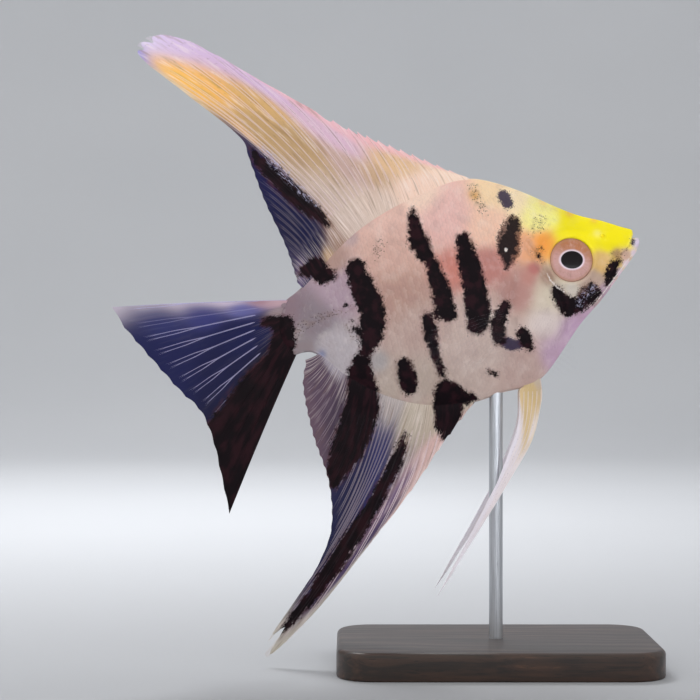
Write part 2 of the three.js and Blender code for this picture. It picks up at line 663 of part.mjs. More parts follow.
add(stand, 'stand_base', baseGeometry(), baseFinish);
add(stand, 'stand_rod', rodGeometry(), steel);

const angelfish = new THREE.Group();
angelfish.add(fish, stand);
export default angelfish;
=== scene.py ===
"""Looks of a life-size marble angelfish on a plain stand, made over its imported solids.

Places on the fish are in millimetres: back from the lower lip towards the tail, up, and out from
the middle plane. They become metres in the frame of the solids when a mesh is made.
"""

import math

import bpy
import numpy as np
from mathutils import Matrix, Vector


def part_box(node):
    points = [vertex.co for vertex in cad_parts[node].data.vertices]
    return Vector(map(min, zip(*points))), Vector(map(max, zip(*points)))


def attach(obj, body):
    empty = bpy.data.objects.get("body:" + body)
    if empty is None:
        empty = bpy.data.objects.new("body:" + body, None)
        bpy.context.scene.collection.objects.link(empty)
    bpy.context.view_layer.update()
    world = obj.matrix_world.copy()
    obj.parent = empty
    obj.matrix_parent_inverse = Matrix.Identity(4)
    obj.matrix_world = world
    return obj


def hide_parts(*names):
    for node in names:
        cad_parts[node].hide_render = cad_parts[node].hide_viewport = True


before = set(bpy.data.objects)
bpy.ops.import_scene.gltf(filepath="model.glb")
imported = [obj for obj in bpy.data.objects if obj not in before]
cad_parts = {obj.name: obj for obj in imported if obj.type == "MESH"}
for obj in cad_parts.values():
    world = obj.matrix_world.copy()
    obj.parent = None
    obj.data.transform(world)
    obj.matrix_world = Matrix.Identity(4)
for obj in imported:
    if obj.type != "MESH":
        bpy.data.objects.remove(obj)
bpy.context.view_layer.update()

bl_info = {
    "name": "Marble Angelfish",
    "version": (1, 0, 0),
    "blender": (4, 5, 0),
    "location": "3D View > Sidebar > Angelfish",
    "description": "Skin, scales, fins, eyes and stand of a marble angelfish display model",
    "category": "Object",
}

# ---- stance ----
PITCH = math.radians(14)
LIP_AHEAD, LIP_HEIGHT = 31.6, 93.1
LEFT, RIGHT = 1, -1
SIDE_NAMES = {RIGHT: "right", LEFT: "left"}
MM = 0.001

# ---- outline of the body: back, up ----
CROWN_LINE = [
    (0, 1.7), (0.9, 2.7), (3.4, 4.1), (7.4, 6.5), (11.4, 8.5), (15.3, 11.1), (22.9, 16.9), (28.8, 20.5),
    (33, 22.1), (38, 22.5), (47.5, 20.9), (54, 19.2), (59.7, 17), (64.8, 14.2), (69.7, 10.9),
    (74.4, 7.9), (78.6, 6.2), (82, 5.6),
]
KEEL_LINE = [
    (0, -0.2), (0.9, -1.3), (2.3, -2.6), (5.7, -5.4), (11.4, -10.1), (16.9, -13.9), (22.8, -18.9),
    (27, -22.2), (30.8, -23.9), (37.6, -24.2), (42.5, -24.9), (48, -24.5), (53.4, -23.5), (59.5, -20.8),
    (65.3, -16.8), (70, -12.2), (74.4, -6.4), (76.8, -5.6), (79.6, -6.2), (82, -6.4),
]
# lips from the chin to the upper lip: share of the height, back, up
LIP_FRONT = [
    (0, 0.9, -1.3), (0.12, 0.35, -0.7), (0.25, 0.06, -0.1), (0.38, -0.05, 0.45), (0.47, 0.1, 0.9),
    (0.52, 0.5, 1.1), (0.56, 1.35, 1.16), (0.62, 1.25, 1.5), (0.75, 1.0, 2.0), (0.9, 0.93, 2.5),
    (1, 0.95, 2.75),
]
TAIL_ROOT = [(79.6, -6.2), (81.1, -3.1), (81.4, 0.3), (80.4, 3.5), (78.6, 6.2)]

# ---- half widths: back, half width ----
FLANK_HALF = [
    (0, 0.9), (0.6, 1.35), (1.5, 1.8), (3.5, 2.5), (7, 3.5), (12, 4.5), (16, 5), (22, 5.9), (28, 6.4),
    (34, 6.4), (44, 5.8), (54, 4.8), (64, 3.5), (72, 2.3), (82, 1.3),
]
CREST_HALF = [(0, 0.6), (6, 0.7), (20, 0.8), (29, 1), (33, 1.2), (72, 1.2), (82, 0.95)]
KEEL_HALF = [
    (0, 0.55), (6, 0.8), (18, 0.9), (25, 1.7), (29, 2.2), (33, 2.1), (38, 1.7), (43, 1.25), (72, 1.2),
    (82, 0.95),
]
FLANK_POWERS = (2.1, 0.9)
EDGE_ROUNDING = 0.4
SKIN_INSET = 0.07

# ---- grid of the skin: stations from lips to tail, columns from keel to crown ----
SKIN_START, SKIN_END = 0.9, 79.3
FIRST_GAPS = [0.03, 0.04, 0.05, 0.06, 0.07]
STATION_GAPS = [(1, 0.075), (4, 0.1), (12, 0.22), (34, 0.27), (60, 0.36), (80, 0.3)]
COLUMNS, CAP_COLUMNS = 112, 6
LIPS_END, ROOT_START = 7, 71
ROOT_BEYOND, ROOT_SQUEEZE = 1.1, 0.93
LIP_ROUNDING, ROOT_ROUNDING = 0.75, 2.2

# ---- bake map: the right flank on one half, the left flank on the other, as shares of the map ----
MAP_MARGIN, MAP_LENGTH, MAP_GIRTH, MAP_HALF = 0.015, 0.465, 0.96, 0.5
SCALE_PATCH = 0.003

# ---- coat of scales ----
SCALE_SINK = 0.02
# a plate of length 1: how fast it narrows to its tip and its root, width, least width, arch and lift
PLATE = {"tip": 1.85, "root": 1.3, "width": 0.92, "least": 0.08, "arch": 0.015, "lift": 0.009}
SCALE_ROWS, SCALE_RUN = (-27, 25), (2, 80.5)
SCALE_SCATTER = (0.05, 0.035)
SCALE_LEAN = [(10, -0.5), (30, 0.0), (60, 0.45), (80, 0.1)]
SIZE_FROM_EDGE = [(0, 0.62), (3, 0.9), (8, 1.05)]
SIZE_ALONG = [(26, 0.85), (34, 1), (60, 1), (80, 0.8)]
FACE_SCALE_SIZE = 0.95
SCATTER_SEED = 11

# ---- forms of the face and gills ----
EYE = {
    "back": 16.1, "up": -0.3, "radius": 4.75, "play": 0.03, "bulge": 0.75, "sink": 0.25, "toe_in": 7,
}
NOSTRIL = (8.0, 3.1)
MOUTH_LINE = [(1.35, 1.16), (1.75, 0.7), (2.15, 0.2), (2.6, -0.35)]
JAW_LINE = [(2.6, -0.35), (4.6, -1.9), (7.6, -4.8), (10, -7.3), (11.8, -10.41)]
CHEEK_LINE = [(23, -17.6), (20.6, -14.2), (20.2, -8.6), (21.3, -4), (22.6, 1.1), (24.4, 5.6)]
GILL_EDGE = [
    (26.2, -21.7), (28.6, -19.5), (30.8, -16.6), (31.9, -12.5), (31.8, -8), (30.3, -3.3), (27.9, 2.4),
    (26.3, 7), (25.6, 12.5), (25.2, 18.3),
]
GILL_OPENING = (0.04, 0.7)
GILL_COVER = {"height": 0.3, "reach": 7, "edge": 0.35}
SHOULDER = {"height": 0.5, "back": 35, "up": -13, "long": 11, "tall": 8}
# ridges and grooves: height, distance from the line or centre that they follow, width
EYE_RIM, EYE_GROOVE = (0.34, 5.35, 0.6), (-0.1, 6.6, 0.5)
MOUTH_CUT, LIP_ROLL = (-0.42, 0, 0.15), (0.2, 0.42, 0.24)
JAW_FOLD = (-0.14, 0, 0.2)
CHEEK_FOLD, CHEEK_ROLL = (-0.16, 0, 0.35), (0.1, 0.9, 0.6)
GILL_GROOVE = (-0.07, 0, 0.6)
THROAT_FOLDS = [(0.07, 1.6, 0.28), (0.07, 2.5, 0.28), (0.07, 3.4, 0.28)]
NOSTRIL_RIM = (0.09, 0.62, 0.2)
# pits: depth, radius of the floor, radius of the brim
EYE_SOCKET, NOSTRIL_PIT = (1.3, 4.3, 4.85), (0.5, 0.25, 0.52)

# ---- fins: ray number, tip back, tip up; rays counted from the front or the top ----
GAP, ROOT_PLAY = 0.3, 0.05
SHEATH_REACH = 7
SWAY_LENGTH = 60
SPINE_BEYOND, RAY_BEYOND = 1.2, 0.35
# forks of a soft ray: the usual places, shares of the ray over which the strands part, and the
# sideways shifts of each strand after the first and the second fork, in ray spacings
FORKS, FORK_RUNS = (0.42, 0.72), (0.22, 0.2)
FORKED = ((0, 0), (0.13, 0.06), (0.13, -0.06), (-0.13, 0.06), (-0.13, -0.06))
# shares of its thickness that a spine, a ray, and each fork lose towards the tip
SPINE_TAPER, RAY_TAPER, FORK_TAPERS = 0.75, 0.45, (0.22, 0.5)
DORSAL = {
    "rays": 33, "spines": 12, "spine_share": 0.46, "from": 33.3, "to": 74.2, "root_half": 1.1,
    "bow": 0.055, "sway": 2, "soft_rays": 27,
    "notches": [(11.4, 0.3, 0.03), (14.6, 0.3, 0.025), (16.6, 0.2, 0.03), (17.4, 0.2, 0.025)],
    "tips": [
        (0, 34.4, 23.6), (4, 43.9, 30.9), (8, 52.6, 37.3), (11, 59, 42.4), (13, 72, 54.5), (15, 85.2, 67),
        (16, 92.4, 70.4), (18, 97.2, 67.4), (20, 89.8, 57), (22, 79.8, 43.8), (23, 79, 38.6),
        (26, 77.9, 28.8), (29, 75.8, 18), (32, 75.2, 9.6),
    ],
}
ANAL = {
    "rays": 29, "spines": 6, "spine_share": 0.24, "from": 43.9, "to": 74.1, "root_half": 1.1,
    "bow": 0.05, "sway": -2, "soft_rays": 27,
    "notches": [(9.6, 0.3, 0.1), (6.6, 0.25, 0.04), (8.4, 0.2, 0.03)],
    "tips": [
        (0, 44.4, -25.9), (3, 54, -33.8), (5, 61.9, -40.9), (7, 75.6, -51.6), (8, 89.5, -62),
        (9, 100.8, -68.3), (10, 100, -64.8), (11, 92, -57.6), (13, 86, -52), (15, 81.2, -45),
        (18, 79.2, -35), (22, 80, -24), (26, 79.6, -13), (28, 77.6, -7.4),
    ],
}
TAIL = {
    "rays": 16, "root_half": 0.9, "bow": 0.012, "sway": 3, "soft_rays": 13, "forks": (0.52, 0.8),
    "ray_radius": 0.18,
    "tips": [
        (0, 116.2, 14.2), (1, 115, 10), (3, 112.2, 4.2), (5, 109.1, -1.8), (7, 106, -7.6), (9, 102.8, -12.8),
        (11, 101.7, -19.5), (13, 101.8, -27.5), (15, 102.1, -36.2),
    ],
}
PELVIC = {
    "from": 28.8, "to": 32.5, "root_half": 0.75, "root_out": 1.2, "splay": math.radians(8),
    "lead": [(30.7, -28.6), (34.3, -35.9), (40.9, -43.1), (48.9, -51.1), (56, -57.9), (62, -63.9)],
    "shares": [0.27, 1, 0.86, 0.72, 0.53, 0.36],
    "spacing": [
        (0, 0.72), (0.12, 0.95), (0.24, 0.82), (0.35, 0.75), (0.52, 0.54), (0.64, 0.44), (0.8, 0.36),
        (1, 0.32),
    ],
}
PECTORAL = {
    "rays": 13, "root": [(33.5, -7.2), (34.2, -12.4)], "length": 23, "shortest": 0.45, "longest": 0.3,
    "fan": math.radians(15), "root_half": 0.3, "fineness": 0.28,
}
PECTORAL_HELD = {
    RIGHT: {"along": (0.8, -0.28, 0.53), "across": (0.3, 0.95, 0.02)},
    LEFT: {"along": (-0.6, -0.73, 0.34), "across": (-0.76, 0.64, 0.06)},
}

# ---- stand ----
BASE = {"corner": 8, "least_corner": 0.5, "foot_round": 0.4, "top_insets": (8, 15)}
ROD = {"in_base": 1.5, "in_belly": 0.9, "sides": 64, "rings": 12}

# ---- marks on the flank, as strokes of a brush: back, up, brush radius ----
MARKS = [
    [
        (20.8, -6.3, 1.2), (20.2, -8.5, 1.7), (18.9, -10.2, 1.9), (16.6, -10, 1.7), (14, -9.3, 1.6),
        (11.9, -8.5, 1),
    ],
    [(5.7, -3, 0.3), (6.9, -3.5, 1.1), (8, -4.8, 1.3), (8.8, -6.1, 1), (9.5, -7.2, 0.5)],
    [(37.9, 9.6, 1.6), (38, 5.2, 2.3), (38.1, -1.3, 2.5), (38.5, -6.2, 2.6), (39.4, -8.7, 2.3)],
    [
        (47, 18.4, 0.7), (47.3, 15.1, 1.3), (47.4, 11.9, 2.2), (46.8, 9.3, 1.7), (45.8, 6.4, 1.3),
        (45.4, 2.3, 1.9), (45.3, -2.6, 2.2), (45, -5, 1.7),
    ],
    [(47, -4.5, 1.1), (44.2, -5.6, 1.1)],
    [(49.6, -4.9, 1.2), (49.6, -8.3, 1.5), (49.8, -11.2, 1.1), (49.6, -14.3, 0.8), (49.3, -17.3, 0.8)],
    [(49.4, -20.7, 1.9), (47.6, -22.8, 2.2), (45.4, -24, 1.5), (43.5, -24.8, 0.6)],
    [(47.8, -24.4, 1.9), (49.2, -26.6, 2.1), (50.5, -29, 1.8), (51.6, -31, 1)],
    [(50.2, -21.9, 2.1), (51.2, -25.8, 1.9), (52, -29, 1.3)],
    [(56.9, -13.6, 1.5), (56.9, -16.3, 2), (56.9, -18.8, 1.6)],
    [
        (62.1, 9.3, 2.1), (61.8, 6.4, 2.5), (60.9, 1.9, 2.7), (60.8, -1.7, 2.8), (61.9, -5, 2.5),
        (63.4, -7.3, 2), (64.4, -9, 1.3),
    ],
    [(66.1, 2.2, 0.3), (66.1, 2.1, 0.3)],
    [(65.9, -1.6, 0.1), (65, -3.6, 0.5), (64, -5.6, 0.9)],
    [
        (65.8, -10.8, 1.9), (66.6, -13.2, 2.8), (67, -16.9, 3.3), (67.9, -20.7, 3.7), (70.5, -25, 3.7),
        (73.8, -29.2, 3.5), (76.7, -32.6, 2.4), (78, -35.2, 1.3),
    ],
    [
        (60.3, -28.5, 0.4), (62.1, -31.7, 1.2), (65.1, -35.5, 1.4), (68.6, -39.6, 1.5), (72.5, -43.6, 1.6),
        (76.5, -47.1, 1.8), (81.1, -51.4, 1.9), (85.6, -55.3, 1.6), (89.3, -58.5, 1.3), (92.5, -60.6, 0.9),
        (98.4, -64.8, 0.4),
    ],
    [(74.2, 11.2, 0.3), (72.6, 11.6, 1.5), (70.4, 11.7, 2.3), (69.5, 9.7, 2), (67.4, 9.2, 1.1)],
    [(32.5, -6.5, 1), (34.1, -8.2, 1.6), (35.3, -10.5, 1.6), (35.5, -13.2, 1.3)],
    [(30.5, -12.8, 1.1), (30, -15, 1.3), (29.5, -16.7, 0.7)],
    [(84.4, 2.9, 0.8), (82.7, 2.5, 1.3), (80.3, 1.2, 2.1)],
    [
        (80.6, 0.1, 2.4), (81.6, -3, 2.7), (83.1, -6.5, 2.9), (86.5, -10.9, 3.5), (90.4, -15.6, 4.4),
        (94.8, -21.3, 5.3), (99.1, -27, 5.3), (102.1, -32.4, 4),
    ],
    [
        (78.4, 39, 0.3), (77, 36.4, 0.9), (75.1, 33.9, 1.3), (72.1, 29.9, 1.8), (69.1, 25.8, 2.1),
        (66.6, 22.7, 1.8), (65.7, 20.5, 0.8),
    ],
    [(22.2, 3.5, 0.3), (23.1, 1.9, 0.2)],
    [(39.2, -19.6, 0.4), (37.9, -20.6, 0.3)],
]
MOTTLED_MARKS = [
    [
        (26.4, 10.9, 1.2), (26.8, 9.8, 1.8), (28.3, 7.3, 2.4), (28.9, 5.2, 2.2), (29.5, 3.1, 1.2),
        (30.2, 1.8, 0.4),
    ],
    [(15, -8.2, 1.3), (13.2, -7.2, 1)],
]
# pale marks: a white fleck and pale lines on the jaw, with painted highlights along two ridges
PALE_AND_HIGHLIGHT_MARKS = [
    # painted highlight along the fold behind and below the eye
    [(22.15, -1.6, 0.1), (21.6, -3.6, 0.17), (20.6, -5.3, 0.16), (19.2, -6.7, 0.1)],
    [(29.4, 5.3, 0.42), (29.4, 5.2, 0.42)],
    [(2.3, -2.2, 0.05), (5.7, -4.95, 0.1), (11.4, -9.6, 0.08), (14.5, -12.1, -0.05)],
    [(9.9, -7.7, 0.03), (12.3, -8.7, -0.01), (14, -9.4, -0.04)],
    [(20.9, -11.6, -0.06), (19.1, -12.7, -0.01), (16.6, -12.2, 0), (14, -10.9, 0.02), (11.9, -9.5, 0.04)],
    # painted highlight along the ridge of the crest, just below the dorsal fin
    [(35.5, 20.4, -0.1), (42.7, 18.9, -0.03), (49.8, 17, -0.02), (54.9, 14.8, -0.03), (60.6, 11.4, -0.1)],
]
FROST_MARKS = [
    [(16.6, -10.4, 0.5), (16, -9.2, 0.9), (15, -8.3, 0.8)],
    [(14, -7.9, 0.7), (12.4, -7.3, 0.6)],
    [(77, 39.4, 0.4), (73.6, 35.2, 1.1), (70.6, 31.2, 1.1), (67.8, 27.2, 0.9), (65.6, 24, 0.4)],
]
VIOLET_MARKS = [
    [(26.8, 17, 1.35), (26.4, 15.1, 1.2)],
    [(34.8, -13.8, 1.2), (33.1, -15.1, 1.3), (31.4, -15.3, 1.1)],
    [(1.6, 0.7, 0.35), (1.9, 0, 0.45)],
]
FAINT_MARKS = [
    [(64, 1.2, 0.3), (70, 1, 0.5), (75.8, 0.2, 0.9), (77.6, -0.6, 1.2)],
    [(66.6, -2.4, 0.8), (65.6, -5.2, 1.2)],
    [(32.8, 20.4, 0.9), (32.5, 17.2, 0.9), (31.8, 14.6, 0.8)],
    [(4.1, -1.1, 0.7), (6.2, -1.4, 1.1)],
    [(20.5, 9.2, 1.6), (22.6, 7.6, 1.0)],
    [(23.4, 3.2, 0.8), (22.6, 1, 0.5)],
    [(55.5, 13.5, 1.2), (57, 10.5, 0.7)],
]

# the attribute that holds each kind of mark, and its value far from any mark
BRUSHWORK = {
    "ink": MARKS, "mottle": MOTTLED_MARKS, "violet": VIOLET_MARKS, "faint": FAINT_MARKS,
    "pale": PALE_AND_HIGHLIGHT_MARKS, "frost": FROST_MARKS,
}
OUTSIDE = -30.0

# ---- colours that blend over the body: colour, back, up, reach; those along the keel edge are painted lighter to offset its shade ----
BODY_HUES = [
    ("gold", 3.6, 2.6, 2.2), ("gold", 8.3, 5.2, 3.4), ("gold", 13.6, 7.4, 3.4), ("gold", 6.9, 1.2, 1.5),
    ("#c29a68", 6, -1.1, 1), ("#dcb4a4", 4, -1.9, 0.9), ("#f6bd52", 8.6, 7.1, 0.9),
    ("#f6c05c", 13.4, 9.7, 0.9), ("#f9d284", 18.6, 13.6, 0.9), ("#fff69a", 19.8, 12, 3),
    ("#ffe8c0", 24.5, 15.6, 2.6), ("#ffa64a", 21.6, 5.4, 2.1), ("#f2b088", 25, 5.6, 2),
    ("#e4ba78", 9.5, -2, 1.6), ("#c4a898", 12.5, -6, 1.6), ("#e4d6ee", 0.6, 0.2, 1),
    ("#f0dce6", 2, -2.1, 0.5), ("#f0d8e2", 4, -3.8, 0.5), ("#ecd4de", 6.1, -5.5, 0.5),
    ("#e8ccd8", 8.3, -7.3, 0.5), ("#c3a6b8", 10.5, -8.3, 0.9), ("blush", 24.7, -0.4, 0.9),
    ("#c48a80", 26.4, -2.2, 1.3), ("#ad8a76", 22.3, -3, 1.3), ("#dcd2c6", 17.8, -6.7, 0.9),
    ("#d9cbb6", 23.3, -7.4, 3.4), ("#e5d5d1", 24.5, -11.5, 2.6), ("#cca9c6", 18.7, -15.2, 2.6),
    ("#ccabc4", 24.4, -19.6, 2.6), ("#bc8b83", 28.5, -5, 2.8), ("#d2b3aa", 32, -20.5, 4),
    ("#ffdfb4", 30, 17.8, 2.4), ("#e2a85e", 32.8, 18.6, 0.9), ("#ffd2b8", 32, 11.5, 3.6),
    ("#cb8a81", 34, 3.4, 2.8), ("#f4c5bc", 40, 15.5, 4.2), ("#d88c7e", 42.3, 4, 2.8),
    ("#e4baab", 53, 9.5, 5), ("#ffe0cc", 44, 21.5, 2.8), ("#efc6b8", 54, 18.6, 3.2),
    ("#e8ddd0", 36.2, -8.3, 0.7), ("belly", 40, -14, 6), ("#cdb0a6", 52, -6, 5), ("#ccb9ac", 55, -19, 5),
    ("flank", 54, 2, 5), ("#baa2b0", 66.5, 5, 3.6), ("#bb9a8e", 66.5, 12.2, 2), ("#8f828a", 73, 1, 3.4),
    ("#8f7a84", 79, 4, 3), ("#c9c0c5", 69.5, -6.5, 3.6), ("#bab3b3", 62, -11.5, 1.3),
    ("#f6d2c2", 44, 22.4, 1), ("#e6bfb0", 50.5, 20.5, 1), ("#dab6ac", 56.5, 18.4, 1),
    # the last two hues on the line below and the first two on the line after it lie along the keel edge:
    # painted lighter, to offset the shade where the skin turns downwards
    ("#c9adac", 61.5, 16.1, 1), ("#d2c2b0", 46.5, -24.4, 1), ("#cbb8a8", 53.5, -23.3, 1),
    ("#dac0b4", 54, -22.7, 1.6), ("#d2b4ad", 58, -21, 1.4), ("#8f93b4", 73.6, -7, 0.7),
    ("#fffa92", 17.5, 9.4, 1.2), ("#fff69e", 21.4, 9.3, 1.9), ("#fff592", 8.9, 4.1, 0.9),
    ("#968a8e", 78, -4, 2.4),
]

# ---- colours that blend over a fin: colour, ray number, share of its length, reach in ray numbers ----
DORSAL_HUES = [
    ("#fbddc8", 1.5, 0.2, 2.2), ("#f6d3be", 6, 0.1, 2.6), ("#e6c096", 7.5, 0.5, 1.8),
    ("#f4c2c2", 2.5, 1, 1.8), ("#f4bfc2", 7, 1, 1.8), ("#eebcc4", 11, 0.97, 1.5),
    ("#dcc5b6", 12, 0.08, 3), ("#d3bdb0", 17, 0.06, 2.4), ("#caa682", 10.3, 0.36, 1.5),
    ("#c8a7a0", 12.6, 0.33, 1.5), ("#be9b6c", 15.4, 0.36, 1.7), ("#c4a070", 17.4, 0.5, 1.4),
    ("#dfbcd0", 12.6, 0.66, 1.5), ("#d9badb", 14.5, 0.84, 1.5), ("#dcc4e6", 16, 0.93, 1.1),
    ("#dcb070", 15.5, 0.6, 1.4), ("#ffc55e", 18, 0.82, 1.3), ("#fcbf64", 17, 0.7, 1.2),
    ("#deb47c", 19.4, 0.64, 1.2), ("#e9def8", 16.6, 1, 0.9), ("#8c8cd8", 17.9, 1.03, 0.8),
    ("#e8c9a4", 19.6, 0.98, 0.9), ("#c2a88c", 19.6, 0.4, 0.9), ("#8f86a6", 20.8, 0.5, 0.8),
    ("#a0806f", 21, 0.03, 1.5), ("#c2a07c", 24.2, 0, 0.8), ("#0c1040", 24, 0.4, 2.8),
    ("#10144a", 23.2, 0.75, 2), ("#12143c", 27, 0.6, 2.6), ("#6a5c80", 30.8, 0.5, 2),
]
ANAL_HUES = [
    ("#c9b8a6", 4, 0.1, 2), ("#cdbfae", 8, 0.03, 1.6), ("#bdb2b0", 12, 0.01, 1.2),
    ("#e6c2bc", 4.9, 0.6, 1.5), ("#f2d4cf", 3.8, 0.92, 1.4), ("#705a84", 6.5, 0.6, 1),
    ("#54456c", 7.3, 0.8, 1), ("#cfc6bf", 8, 0.92, 0.7), ("#d6cfc2", 9, 1, 0.7),
    ("#282c64", 10.6, 0.3, 1.8), ("#242854", 12, 0.6, 1.8), ("#20224a", 14.4, 0.8, 1.8),
    ("#4a3c4e", 20.5, 0.5, 2.2), ("#604c60", 24.5, 0.5, 2.8), ("#6c5666", 24, 0.95, 2),
    ("#a29aa6", 24.5, 0, 1.2),
]
TAIL_HUES = [
    ("#c6a4ae", 0, 0.05, 0.9), ("#b08a94", 0, 0.15, 0.7), ("#f0dfec", -1.2, 0.3, 1.15),
    ("#e8d8e8", -1.2, 0.46, 1.15), ("#e0d2e0", -1.2, 0.63, 1.15), ("#d8ccd8", -1.2, 0.8, 1.15),
    ("#d2c7d4", -1.2, 1, 1.2), ("#6c6ca8", 1.3, 0.25, 0.9), ("#3c3e7c", 1.6, 0.5, 1.2),
    ("#34386e", 1.8, 0.78, 1.3), ("#171a4c", 5, 0.35, 2.2), ("#151744", 7.5, 0.6, 2.4),
    ("#1c1f52", 4, 0.85, 2.4), ("#140d14", 12.5, 0.5, 3), ("#a08e92", 3, 0, 0.7),
]
PELVIC_HUES = [
    ("#cdb9a8", 1, 0, 1), ("#dcc08c", 2, 0.12, 1.1), ("#e4c894", 2.2, 0.3, 1.2), ("#fbf0ec", 1, 0.3, 0.6),
    ("#faf0f4", 1.4, 0.55, 1.2), ("#fcf6ff", 2, 0.9, 1.6),
]
PECTORAL_HUES = [("#d9dcf0", 6, 0.6, 4), ("#d8c2b2", 6, 0, 1.6)]
# where these colours blend, the length of a ray counts as this many ray numbers
RAY_SPREAD = 12
UNMARKED = "unmarked"

# ---- gloss ----
SKIN_COAT, FIN_COAT, COAT_ROUGHNESS, SHEEN = 0.16, 0.08, 0.25, 0.1

# ---- stage, in metres ----
# lamps that light the floor and the wall, which throw a soft light on the model:
# name, place, direction, size, how many times the key power
LAMPS = [
    ("key", (0.27, -1.1, 1.11), (0.3, -1.1, -1.02), 1.0, 4),
    ("fill", (-0.65, -0.55, 0.2), (-0.62, -0.55, -0.13), 0.7, 0.2),
    ("rim", (-0.12, 0.3, 0.5), (-0.09, 0.3, -0.4), 0.3, 0.06),
]
CAMERA = {"at": (-0.03209, -0.42, 0.06934), "sensor": 36, "lens": 98.18, "clip": (0.01, 20)}
SWEEP = {"near": -2.5, "flat_to": 0.6, "bend_from": 0.8, "bend": 0.9, "top": 3.5, "half_wide": 3}


# ---- settings that a maker would change ----

def colour_setting(name, description, default):
    return bpy.props.FloatVectorProperty(
        name=name, description=description, default=linear(default), size=3, min=0, max=1, subtype="COLOR",
    )


def length_setting(name, description, millimetres):
    return bpy.props.FloatProperty(
        name=name, description=description, default=millimetres * MM, min=0, precision=5, unit="LENGTH",
    )


def linear(code):
    """Scene-linear red, green and blue of a colour written as #rrggbb."""
    shares = [int(code[i:i + 2], 16) / 255 for i in (1, 3, 5)]
    return tuple(s / 12.92 if s <= 0.04045 else ((s + 0.055) / 1.055) ** 2.4 for s in shares)


class SkinSettings(bpy.types.PropertyGroup):
    gold: colour_setting("Gold", "Crown and snout", "#ffee06")
    flank: colour_setting("Flank", "Middle of the flank", "#c49c8e")
    belly: colour_setting("Belly", "Belly and lower flank", "#d9c2b8")
    blush: colour_setting("Blush", "Blush on the gill cover", "#c27872")
    mark: colour_setting("Mark", "Dark marbled marks", "#10060c")
    violet: colour_setting("Violet mark", "Marks that lie deeper in the skin", "#2a2146")
    scale_length: length_setting("Scale length", "Length of a scale on the flank", 2.15)
    scale_pitch: length_setting("Scale pitch", "Distance between scales along a row", 1.32)
    face_scale_pitch: length_setting("Face scale pitch", "Distance between scales on the face", 0.86)
    scale_thickness: length_setting("Scale thickness", "Thickness of a scale", 0.018)
    scale_seed: bpy.props.IntProperty(name="Scale seed", description="Varies the scales", default=7)


class FinSettings(bpy.types.PropertyGroup):
    web_thickness: length_setting("Web thickness", "Thickness of the web between the rays", 0.12)
    spine_radius: length_setting("Spine radius", "Radius of a spine at its root", 0.3)
    ray_radius: length_setting("Ray radius", "Radius of a soft ray at its root", 0.2)
    clearness: bpy.props.FloatProperty(
        name="Clearness", description="How clear the clear webs are", default=0.85, min=0, max=1,
        subtype="FACTOR",
    )


class EyeSettings(bpy.types.PropertyGroup):
    iris: colour_setting("Iris", "Lower part of the iris", "#d2a49e")
    brow: colour_setting("Brow", "Upper part of the iris", "#bd7d57")
    ring: colour_setting("Ring", "Bright ring round the pupil", "#f2e2ee")
    pupil_width: length_setting("Pupil width", "Width of the pupil", 4.9)
    pupil_height: length_setting("Pupil height", "Height of the pupil", 3.85)


class StandSettings(bpy.types.PropertyGroup):
    wood: colour_setting("Wood", "Stained wood of the base", "#3a2418")
    edge_round: length_setting("Edge round", "Radius of the base's top edge", 1.2)
    rod_radius: length_setting("Rod radius", "Radius of the steel rod", 1.5)


class StageSettings(bpy.types.PropertyGroup):
    floor: colour_setting("Floor", "Floor and backdrop", "#b2b5ba")
    key_power: bpy.props.FloatProperty(name="Key power", description="Sets all lamps", default=64, min=0)


SETTINGS = {
    "angelfish_skin": SkinSettings, "angelfish_fins": FinSettings, "angelfish_eyes": EyeSettings,
    "angelfish_stand": StandSettings, "angelfish_stage": StageSettings,
}


# ---- numbers along keyed lines ----

def smooth(keys, at, column=1):
    """Value through (x, value, ...) keys, with the slope carried smoothly over each key."""
    table = np.array(keys, float)
    x, value = table[:, 0], table[:, column]
    last = len(x) - 1
    number = np.arange(last + 1)
    before, after = np.maximum(number - 1, 0), np.minimum(number + 1, last)
    slope = (value[after] - value[before]) / (x[after] - x[before])
    at = np.clip(at, x[0], x[-1])
    k = np.clip(np.searchsorted(x, at, side="right") - 1, 0, last - 1)
    span, rise = x[k + 1] - x[k], value[k + 1] - value[k]
    t = (at - x[k]) / span
    bend = (slope[k] * span - rise) * (1 - t) + (rise - slope[k + 1] * span) * t
    return value[k] + rise * t + t * (1 - t) * bend


def straight(keys, at):
    """Value through (x, value) keys, in straight lines from one to the next."""
    x, value = zip(*keys)
    return np.interp(at, x, value)


def read(table, numbers, at):
    """Rows of a table at numbers between those that its rows stand for."""
    return np.stack([np.interp(at, numbers, column) for column in table.T], -1)


def unit(vectors):
    return vectors / np.linalg.norm(vectors, axis=-1, keepdims=True)


def crown(back):
    return smooth(CROWN_LINE, back)


def keel(back):
    return smooth(KEEL_LINE, back)


def step(x, start, end):
    """Eases from 0 at start to 1 at end."""
    t = np.clip((np.asarray(x, float) - start) / (end - start), 0, 1)
    return t * t * (3 - 2 * t)


def hump(x, width):
    return np.exp(-(x / width) ** 2)


def curve(points, parameters):
    """Points of a smooth curve through points, at parameters from 0 to 1."""
    p = np.array(points, float)
    at = np.clip(parameters, 0, 1) * (len(p) - 1)
    i = np.minimum(at.astype(int), len(p) - 2)
    w = (at - i)[..., None]
    p0, p1, p2, p3 = p[np.maximum(i - 1, 0)], p[i], p[i + 1], p[np.minimum(i + 2, len(p) - 1)]
    v0, v1 = (p2 - p0) / 2, (p3 - p1) / 2
    return (2 * p1 - 2 * p2 + v0 + v1) * w**3 + (-3 * p1 + 3 * p2 - 2 * v0 - v1) * w**2 + v0 * w + p1


